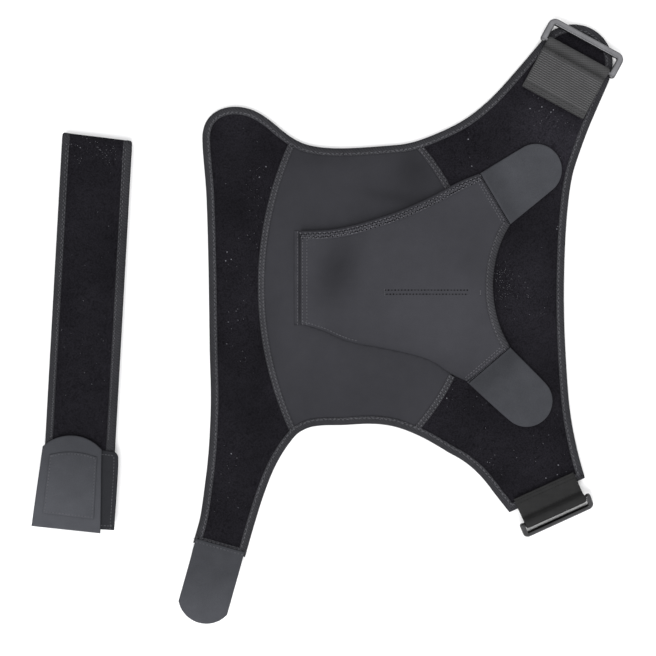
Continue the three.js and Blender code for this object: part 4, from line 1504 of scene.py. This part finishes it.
    def on_pad(self, line: Line, inward: float = 0.0) -> Line:
        """A line in plan, moved inward and laid on the pad's upper side, with three numbers a point."""
        moved = line + sideways(line, False) * inward
        away, _ = nearest(moved, self.loop, closed=True)
        soft = rounding(away, self.edge * self.softness(moved))
        half = (self.high - self.low) / 2
        level = self.seat(moved) + (self.low + self.high) / 2 + half * soft + self.relief(moved) * soft
        return np.column_stack([moved, level])


@dataclass
class CuffTab:
    """The fastening tab at the end of the cuff's tail, which laps the binding and falls to the table."""

    shop: Workshop
    place: Place = Place(-78.574, -164.599, -15.7)
    thickness: float = 2.1
    lap_level: float = 5.1
    fall: float = 16.0
    seam_half: float = 17.0
    seam_in: float = 1.8

    def out(self, points: Line) -> np.ndarray:
        """How far out points are from the tab's root."""
        return -self.place.local(points)[:, 1]

    def surface(self, points: Line) -> np.ndarray:
        """The level of the tab's underside."""
        return self.lap_level * (1 - eased(self.out(points), 0.3, 0.3 + self.fall))

    def tone(self, points: Line) -> np.ndarray:
        """Light and dark, paler towards its end."""
        return 0.76 + 0.36 * eased(self.out(points), 5, 52) + 0.03 * swell(points, 18, 91)

    def build(self) -> None:
        """Builds and dresses the tab."""
        layer = ClothLayer(
            "cuff_tab_cloth", cloth_loop("cuff_tab", TAB_STEP), 0.0, self.thickness, self.surface, spacing=1.5,
            edge=0.9, tone=self.tone, relief=lambda points: 0.1 * swell(points, 22, 92),
        )
        self.shop.lay(layer, Slot.TAB, "cuff_tab", "tab_cloth", ["edge_tape", "floor"])
        row = self.place.world(straight((-self.seam_half, self.seam_in, 0), (self.seam_half, self.seam_in, 0), 20))
        row[:, 2] = self.lap_level + self.thickness - 0.02
        self.shop.sew("cuff_tab_stitches", [row], Slot.TAB, 93, Stitch(2.6, 2.0, 0.42, 0.45))


@dataclass
class StrapRing:
    """A strap ring on its covered bar, and the webbing whose loop holds it."""

    shop: Workshop
    joint: str
    body: Body
    webbing_node: str
    ring_node: str
    webbing_slot: Slot
    ring_slot: Slot
    webbing_finish: str
    ring_finish: str
    webbing_width: float
    webbing_length: float
    bar: float
    reach: float
    rest_level: float
    ribs: bool = False
    webbing_thick: float = 1.3
    ring_thick: float = 3.5
    pin_radius: float = 1.7
    loop_hole: float = 2.0
    side_play: float = 0.5
    rib_pitch: float = 1.6
    rib_first: float = 6.2
    rib_last: float = 6.4
    rib_radius: float = 0.48
    rib_tone: float = 1.75
    corner_power: float = 0.55

    def build(self) -> None:
        """Builds and dresses the webbing and the ring."""
        joint = next(j for j in frame["joints"] if j["name"] == self.joint)
        self.centre = np.array(joint["pos_m"]) / MM
        self.along = np.array(joint["axis"]) / np.linalg.norm(joint["axis"])
        self.out = np.cross(UP, self.along)
        self.build_webbing()
        self.build_ring()

    def placed(self, points: Line, tip: float = 0.0) -> Line:
        """Points of along, out and up from the bar, tipped down at the far side by an angle in radians."""
        along, far, high = points[..., 0:1], points[..., 1:2], points[..., 2:3]
        out = far * math.cos(tip) + high * math.sin(tip)
        up = high * math.cos(tip) - far * math.sin(tip)
        return self.centre + along * self.along + out * self.out + up * UP

    def webbing_path(self, floor: float) -> Line:
        """The webbing's middle line: out under the loop, round the bar, and back on itself."""
        radius = self.loop_hole + self.webbing_thick / 2
        upper = floor + self.webbing_thick
        under = [(-self.webbing_length, floor), (-self.webbing_length / 2, floor), (-1.0, floor)]
        turn = [(radius * math.cos(a), radius * math.sin(a)) for a in np.radians(np.linspace(-80, 165, 14))]
        back = [(-radius - 1.6, upper + 0.25), (-radius - 4.0, upper), (-self.webbing_length, upper)]
        return smooth_line(np.array(under + turn + back), 0.7)

    def build_webbing(self) -> None:
        """The webbing, doubled back on itself round the bar, with its rows of stitches."""
        thick = self.webbing_thick
        floor = -self.loop_hole - thick / 2
        path = self.webbing_path(floor)
        way = directions(path)
        up = np.column_stack([-way[:, 1], way[:, 0]])
        half = self.webbing_width / 2
        across = np.linspace(-1, 1, 27)
        crown = np.sqrt(np.clip(1 - np.clip((np.abs(across) - 0.97) / 0.03, 0, 1) ** 2, 0.05, 1))
        profile = strip_section(across * half, (thick / 2 - 0.03) * crown)
        shape = np.empty((len(path), len(profile), 3))
        shape[..., 0] = profile[:, 0]
        shape[..., 1:] = path[:, None] + up[:, None] * profile[:, 1:]
        piece = swept(self.webbing_node + "_cloth", self.placed(shape))
        local = shape.reshape(-1, 3)
        loop_shadow = 0.45 * bell(local[:, 1] + 4.6, 1.2) * (local[:, 2] > floor + thick * 0.7)
        paint(piece, "tone", (1 + 0.05 * swell(local[:, :2], 9, 101)) * (1 - loop_shadow))
        self.shop.mount(piece, self.webbing_slot, [self.webbing_node], self.webbing_finish)
        top, inset = floor + 1.5 * thick, half - 1.5
        rows = [self.placed(straight((-inset, out, top + 0.03), (inset, out, top + 0.03), 30))
                for out in (1.6 - self.webbing_length, 4.0 - self.webbing_length, -5.6)]
        stitch = Stitch(2.4, 1.8, 0.5, 0.5, self.webbing_finish)
        self.shop.sew(self.webbing_node + "_stitches", rows, self.webbing_slot, 103, stitch)
        if self.ribs:
            self.build_ribs(top)

    def build_ribs(self, top: float) -> None:
        """The cross ribs of the webbing, which geometry nodes repeat along it."""
        name = self.webbing_node + "_ribs"
        piece = RibRow().run(linked(name, bpy.data.meshes.new(name)), {
            "Width": (self.webbing_width - 1.2) * MM,
            "Pitch": self.rib_pitch * MM,
            "Count": int((self.webbing_length - self.rib_first - self.rib_last) / self.rib_pitch),
            "Rib Radius": self.rib_radius * MM,
            "Cloth": self.shop.finishes.made[self.webbing_finish],
        }, self.rib_tone)
        points = vertex_points(piece) + [0, -self.webbing_length + self.rib_first, top - 0.12]
        piece.data.vertices.foreach_set("co", (self.placed(points) * MM).ravel())
        piece.data.update()
        self.shop.mount(piece, self.webbing_slot)

    def ring_path(self, middle: float) -> Line:
        """The middle line of the ring's three flat bars in plan: along, and out."""
        far, bend = self.reach - self.bar / 2, self.bar * 0.68
        path = [(-middle, 0.0), (-middle, (far - bend) * 0.5), (-middle, far - bend)]
        path += [(-middle + bend - bend * math.cos(a), far - bend + bend * math.sin(a))
                 for a in np.radians(np.arange(10, 90, 10))]
        side = path[:]
        path += [(x, far) for x in np.linspace(-middle + bend, middle - bend, 12)]
        return np.array(path + [(-x, y) for x, y in reversed(side)])

    def build_ring(self) -> None:
        """The ring: three flat bars with soft edges in one bend, and the round covered bar, with a painted
        highlight along their tops and painted shade down their sides.
        """
        middle = self.webbing_width / 2 + self.side_play + self.bar / 2
        path = self.ring_path(middle)
        way = directions(path)
        side = np.column_stack([-way[:, 1], way[:, 0]])
        cap = np.radians(np.linspace(90, 0, 7)[:-1])
        ends = self.bar / 2
        before = [(path[0] - way[0] * ends * math.sin(a), side[0], math.cos(a)) for a in cap]
        after = [(path[-1] + way[-1] * ends * math.sin(a), side[-1], math.cos(a)) for a in cap[::-1]]
        around = np.radians(np.arange(0, 360, 15))
        circle = np.column_stack([np.cos(around), np.sin(around)])
        squared = np.sign(circle) * np.abs(circle) ** self.corner_power
        profile = squared * [self.bar / 2, self.ring_thick / 2]
        rings = []
        for centre, left, size in [*before, *((p, s, 1.0) for p, s in zip(path, side)), *after]:
            size = max(size, 0.02)
            plan = centre + np.outer(profile[:, 0] * size, left)
            rings.append(np.column_stack([plan, profile[:, 1] * (0.35 + 0.65 * size)]))
        tip = math.asin((self.centre[2] - self.ring_thick / 2 - self.rest_level) / self.reach)
        ring = swept(self.ring_node + "_frame", self.placed(np.array(rings), tip))
        pin = np.array([np.column_stack([np.full(len(circle), x), self.pin_radius * circle])
                        for x in np.linspace(-middle, middle, 9)])
        pin_piece = swept(self.ring_node + "_pin", self.placed(pin, tip))
        union = ring.modifiers.new("union", "BOOLEAN")
        union.operation, union.solver, union.object = "UNION", "EXACT", pin_piece
        evaluated(ring)
        bpy.data.objects.remove(pin_piece)
        # Painted highlight along the tops of the bars and painted shade down their sides, stored in the ring's
        # tone
        points = vertex_points(ring) - self.centre
        level = points @ UP * math.cos(tip) + points @ self.out * math.sin(tip)
        paint(ring, "tone", 0.2 + eased(level / (self.ring_thick / 2), 0.7, 0.99))
        self.shop.mount(ring, self.ring_slot, [self.ring_node], self.ring_finish, self.body)


@dataclass
class ChestStrap:
    """The chest strap, folded in half, with its bound edges and the flaps of its two ends."""

    shop: Workshop
    place: Place = Place(-166.074, 134.401, -3.2)
    half_width: float = 25.0
    thickness: float = 2.5
    upper_length: float = 226.0
    lower_length: float = 283.0
    fold_middle: float = 4.45
    binding_width: float = 5.8
    binding_half: float = 2.1
    fold_skew: float = 2.0
    skew_length: float = 14.0
    zigzag_step: float = 1.7
    bare_lint: float = 0.01
    # How dark the lower flap is: painted shade under the upper flap
    under_shadow_tone: float = 0.42

    def path(self) -> Line:
        """The strap's middle line from its lower end round the fold to its upper end: out and up."""
        radius = (self.fold_middle + 0.15) / 2
        centre = -self.fold_middle
        lower = [(y, self.fold_middle - radius) for y in np.linspace(-self.lower_length, centre - 3, 120)]
        turn = [(centre + radius * math.sin(a), self.fold_middle - radius * math.cos(a))
                for a in np.radians(np.linspace(0, 180, 17))]
        upper = [(y, self.fold_middle + radius) for y in np.linspace(centre - 3, -self.upper_length, 96)]
        return np.array(lower + turn + upper)

    def ribbon(self, name: str, profile: Line, wave: float, squeeze: float, seed: int) -> Piece:
        """A strip that follows the strap's middle line.

        Args:
            name: The piece's name.
            profile: Its section: across, and out from the middle line.
            wave: How uneven its outer side is.
            squeeze: How much thinner it is pressed in the fold.
            seed: The seed of that.

        Returns:
            The strip, with its tone painted on.
        """
        path = self.path()
        way = directions(path)
        along = run_length(path)
        across, thin = profile.T
        stations = []
        for (out, height), off, at in zip(path, np.column_stack([way[:, 1], -way[:, 0]]), along):
            uneven = 1 + wave * swell(np.column_stack([across, np.full(len(across), at)]), 26, seed)
            reach = thin * uneven * (1 - squeeze * abs(off[0]))
            skew = -self.fold_skew * across / self.half_width * math.exp(out / self.skew_length)
            stations.append(np.column_stack([across, out + off[0] * reach + skew, height + off[1] * reach]))
        shape = np.array(stations)
        piece = swept(name, self.place.world(shape.reshape(-1, 3)).reshape(shape.shape))
        flat = np.column_stack([shape[..., 0].ravel(), np.repeat(along, len(across))])
        paint(piece, "tone", 0.88 + 0.08 * swell(flat, 34, seed + 1))
        return piece

    def build(self) -> None:
        """Builds and dresses the strap."""
        core = self.half_width - 0.9
        profile = strip_section(np.linspace(-core, core, 40), np.full(40, self.thickness / 2))
        sheet = self.ribbon("strap_cloth", profile, 0.05, 0.0, 111)
        self.shop.mount(sheet, Slot.PILE, ["strap"], "black_pile")
        length = run_length(self.path())[-1]
        self.shop.strew("strap_lint", sheet, self.lint_amount, 13)
        for side, node in ((-1, "strap_binding_left"), (1, "strap_binding_right")):
            folded = folded_profile(self.binding_width, -self.binding_half, self.binding_half)
            folded = np.column_stack([side * (self.half_width - folded[:, 0]), folded[:, 1]])
            tape = self.ribbon(node + "_tape", folded, 0.03, 0.36, 112 + side)
            self.shop.mount(tape, Slot.TAPE, [node], "binding_tape")
        self.build_flaps()
        self.build_stitches()

    def lint_amount(self, points: Line) -> np.ndarray:
        """How much fluff lies on the strap's upper layer, between its bindings."""
        between = np.abs(self.place.local(points)[:, 0]) < self.half_width - self.binding_width
        return (ovals(STRAP_LINT, points[:, :2]) + self.bare_lint) * ((points[:, 2] > 6) & between)

    def flap_tone(self, points: Line) -> np.ndarray:
        """Light and dark over the upper flap, paler towards its end and its left."""
        local = self.place.local(points)
        down = eased(-local[:, 1], 205, 283)
        return 0.8 + 0.28 * down + 0.14 * down * eased(-local[:, 0], -20, 24) + 0.03 * swell(points, 20, 121)

    def sliver_shadow_tone(self, points: Line) -> np.ndarray:
        """The lower flap's even tone, dark as painted shade under the upper flap."""
        return self.under_shadow_tone * even(points)

    def build_flaps(self) -> None:
        """The fastening flap with its patch, and the sliver of the lower flap, with their stitches."""
        rows = []
        for name, node, low, high, spacing, edge, tone in [
            ("strap_flap_under", "strap_flap_lower", 6.8, 8.9, 1.6, 0.9, self.sliver_shadow_tone),
            ("strap_flap", "strap_flap_upper", 9.2, 11.3, 1.5, 1.0, self.flap_tone),
            ("strap_patch", "strap_hook_patch", 11.25, 12.1, 1.5, 0.5, self.flap_tone),
        ]:
            layer = ClothLayer(
                name, cloth_loop(node, TAB_STEP, 40), low, high, nothing, spacing, edge,
                relief=lambda points: 0.08 * swell(points, 24, 122), tone=tone,
            )
            self.shop.lay(layer, Slot.TAB, node, "tab_cloth", ["strap_cloth"])
            rows.append(layer.loop)
        sliver, _, patch = rows
        rows = [over(patch, nothing, 12.08, 1.3, closed=True), over(sliver, nothing, 8.88, 3.0, closed=True)]
        self.shop.sew("flap_stitches", rows, Slot.TAB, 123, Stitch(2.3, 1.7, 0.42, 0.4))

    def build_stitches(self) -> None:
        """The zigzag rows on both bindings of the upper layer."""
        level = self.fold_middle * 1.5 + 0.08 + self.binding_half - 0.1
        middle = self.half_width - self.binding_width * 0.76
        turns = np.arange(int((self.upper_length - 12) / self.zigzag_step))
        rows = []
        for side in (-1, 1):
            across = side * middle + np.where(turns % 2, 0.75, -0.75)
            line = np.column_stack([across, -8.0 - self.zigzag_step * turns, np.full(len(turns), level)])
            rows.append(self.place.world(line))
        self.shop.sew("strap_stitches", rows, Slot.TAPE, 131, Stitch(2.25, 1.9, 0.4, 0.4))


@dataclass
class Studio:
    """The pale floor, the soft light and the camera straight above."""

    centre: tuple[float, float] = (0.1, -4.4)
    view_width: float = 472.3
    lens: float = 85.0
    sensor: float = 36.0
    subject_level: float = 6.0
    floor_half: float = 3000.0
    floor_level: float = -0.4
    sky: float = 1.0
    light_side: float = 1.4

    def build(self) -> None:
        """Builds the floor, the lights and the camera."""
        half, level = self.floor_half, self.floor_level
        corners = np.array([[x * half, y * half, level] for x, y in ((-1, -1), (1, -1), (1, 1), (-1, 1))])
        floor = new_object("floor", corners, [(0, 1, 2, 3)], smooth=False)
        floor.data.materials.append(self.floor_material())
        self.lights()
        camera = linked("camera", bpy.data.cameras.new("camera"))
        camera.data.lens = self.lens
        camera.data.sensor_width = self.sensor
        distance = self.view_width * self.lens / self.sensor
        camera.location = (self.centre[0] * MM, self.centre[1] * MM, (distance + self.subject_level) * MM)
        bpy.context.scene.camera = camera

    @staticmethod
    def floor_material() -> bpy.types.Material:
        """A plain white sweep with a trace of paper grain."""
        made, nodes, place = new_material("white_sweep")
        colour = nodes.mix(nodes.noise(place, 12.0), (0.9, 0.9, 0.905, 1), (0.93, 0.93, 0.935, 1))
        nodes.surface({"Base Color": colour, "Roughness": 0.9, "Specular IOR Level": 0.1})
        return made

    def lights(self) -> None:
        """A bright even sky, one wide soft light from the foot of the picture, and a weak one opposite."""
        scene = bpy.context.scene
        scene.view_settings.view_transform = "Standard"
        scene.world = scene.world or bpy.data.worlds.new("sky")
        scene.world.use_nodes = True
        nodes = Nodes(scene.world.node_tree)
        sky = nodes.add("ShaderNodeBackground", {"Color": (1.0, 1.0, 1.0, 1.0), "Strength": self.sky})
        nodes.add("ShaderNodeOutputWorld", {"Surface": sky.outputs[0]})
        for name, place, power in [("key", (-0.35, -1.1, 1.5), 30.0), ("fill", (0.9, 0.9, 1.6), 8.0)]:
            light = linked(name, bpy.data.lights.new(name, "AREA"))
            light.data.size = self.light_side
            light.data.energy = power
            light.matrix_world = looking_from(place)


def looking_from(place: Sequence[float]) -> Matrix:
    """The matrix of a light at a place that faces the middle of the table."""
    back = np.array(place) / np.linalg.norm(place)
    side = np.cross(UP, back)
    side = side / np.linalg.norm(side)
    rows = np.column_stack([side, np.cross(back, side), back, place])
    return Matrix([*rows.tolist(), [0.0, 0.0, 0.0, 1.0]])


# Lights, darks, dents and lint, listed one by one

CUFF_LINT = (
    Oval(-53, 92, 8, 26, 0.25),
    Oval(-48, 60, 9, 9, 0.5),
    Oval(-60, -28, 10, 12, 0.08),
    Oval(-50, 18, 9, 12, 0.08),
    Oval(-32, -62, 10, 6, 0.14),
    Oval(-66, -103, 6, 14, 0.06),
)
CHEST_LINT = (
    Oval(124, 29, 6, 13, 2.4),
    Oval(138, 24, 10, 12, 0.7),
    Oval(155, 10, 8, 10, 0.14),
    Oval(176, 146, 22, 12, 0.3),
    Oval(98, 84, 14, 9, 0.4),
    Oval(100, -60, 16, 10, 0.1),
    Oval(126, -102, 12, 10, 0.18),
    Oval(150, -86, 10, 10, 0.06),
)
STRAP_LINT = (
    Oval(-180, 125, 8, 8, 1.1),
    Oval(-156, 122, 9, 9, 1.3),
    Oval(-168, 60, 16, 14, 0.08),
    Oval(-172, -10, 16, 30, 0.05),
)
PILE_TONES = (
    Oval(-45, 60, 12, 26, 0.12),
    Oval(140, 20, 24, 34, 0.45),
    Oval(120, -100, 20, 14, 0.15),
    Oval(162, 136, 36, 38, 0.85),
    Oval(110, 96, 26, 14, 0.3),
)
# Painted light and shade of the cup's dome, with a painted shadow in a thin band above the pad's hem
CUP_LIGHT_AND_SHADE = (
    Oval(1, 118, 30, 7, -0.09),
    Oval(16, 98, 36, 15, 0.04),
    Oval(62, 112, 14, 18, -0.2),
    Oval(48, 90, 30, 5, -0.14, -12),
    Oval(-26, 16, 14, 50, 0.13),
)
# Painted light and shade over the pad's crown, darkest as painted shade in its dents
PAD_LIGHT_AND_SHADE = (
    Oval(13, 46, 14, 28, -0.26, -14),
    Oval(2, 36, 14, 18, -0.2),
    Oval(-1, 18, 13, 12, -0.1),
    Oval(72, -5, 45, 34, 0.05),
    Oval(104, 54, 10, 20, -0.07),
)
PAD_DENTS = (
    Oval(13, 46, 12, 22, -0.5),
    Oval(100, 40, 9, 26, -0.3, 10),
    Oval(88, 20, 30, 3, -0.25),
    Oval(95, -20, 16, 6, 0.3, -40),
    Oval(98, 62, 16, 6, 0.3, 35),
)


def main() -> None:
    """Builds every sub-assembly in order, and reports the pieces."""
    logging.basicConfig(level=logging.INFO, format="%(message)s")
    finishes = Finishes()
    shop = Workshop(finishes, StitchRows(finishes), LintScatter(finishes))
    Studio().build()
    BodyPanels(shop).build()
    PadPocket(shop).build()
    CuffTab(shop).build()
    StrapRing(
        shop, "upper_ring_swing", Body.UPPER_RING, "upper_webbing", "upper_ring", Slot.RIBBED, Slot.GREY_RING,
        "ribbed_webbing", "grey_ring_gloss", webbing_width=50.0, webbing_length=37.2, bar=4.8, reach=17.0,
        rest_level=5.1, ribs=True,
    ).build()
    StrapRing(
        shop, "lower_ring_swing", Body.LOWER_RING, "lower_webbing", "lower_ring", Slot.PLAIN, Slot.DARK_RING,
        "plain_webbing", "dark_ring_gloss", webbing_width=47.0, webbing_length=19.8, bar=3.7, reach=11.5,
        rest_level=0.0,
    ).build()
    ChestStrap(shop).build()


if __name__ == "__main__":
    main()
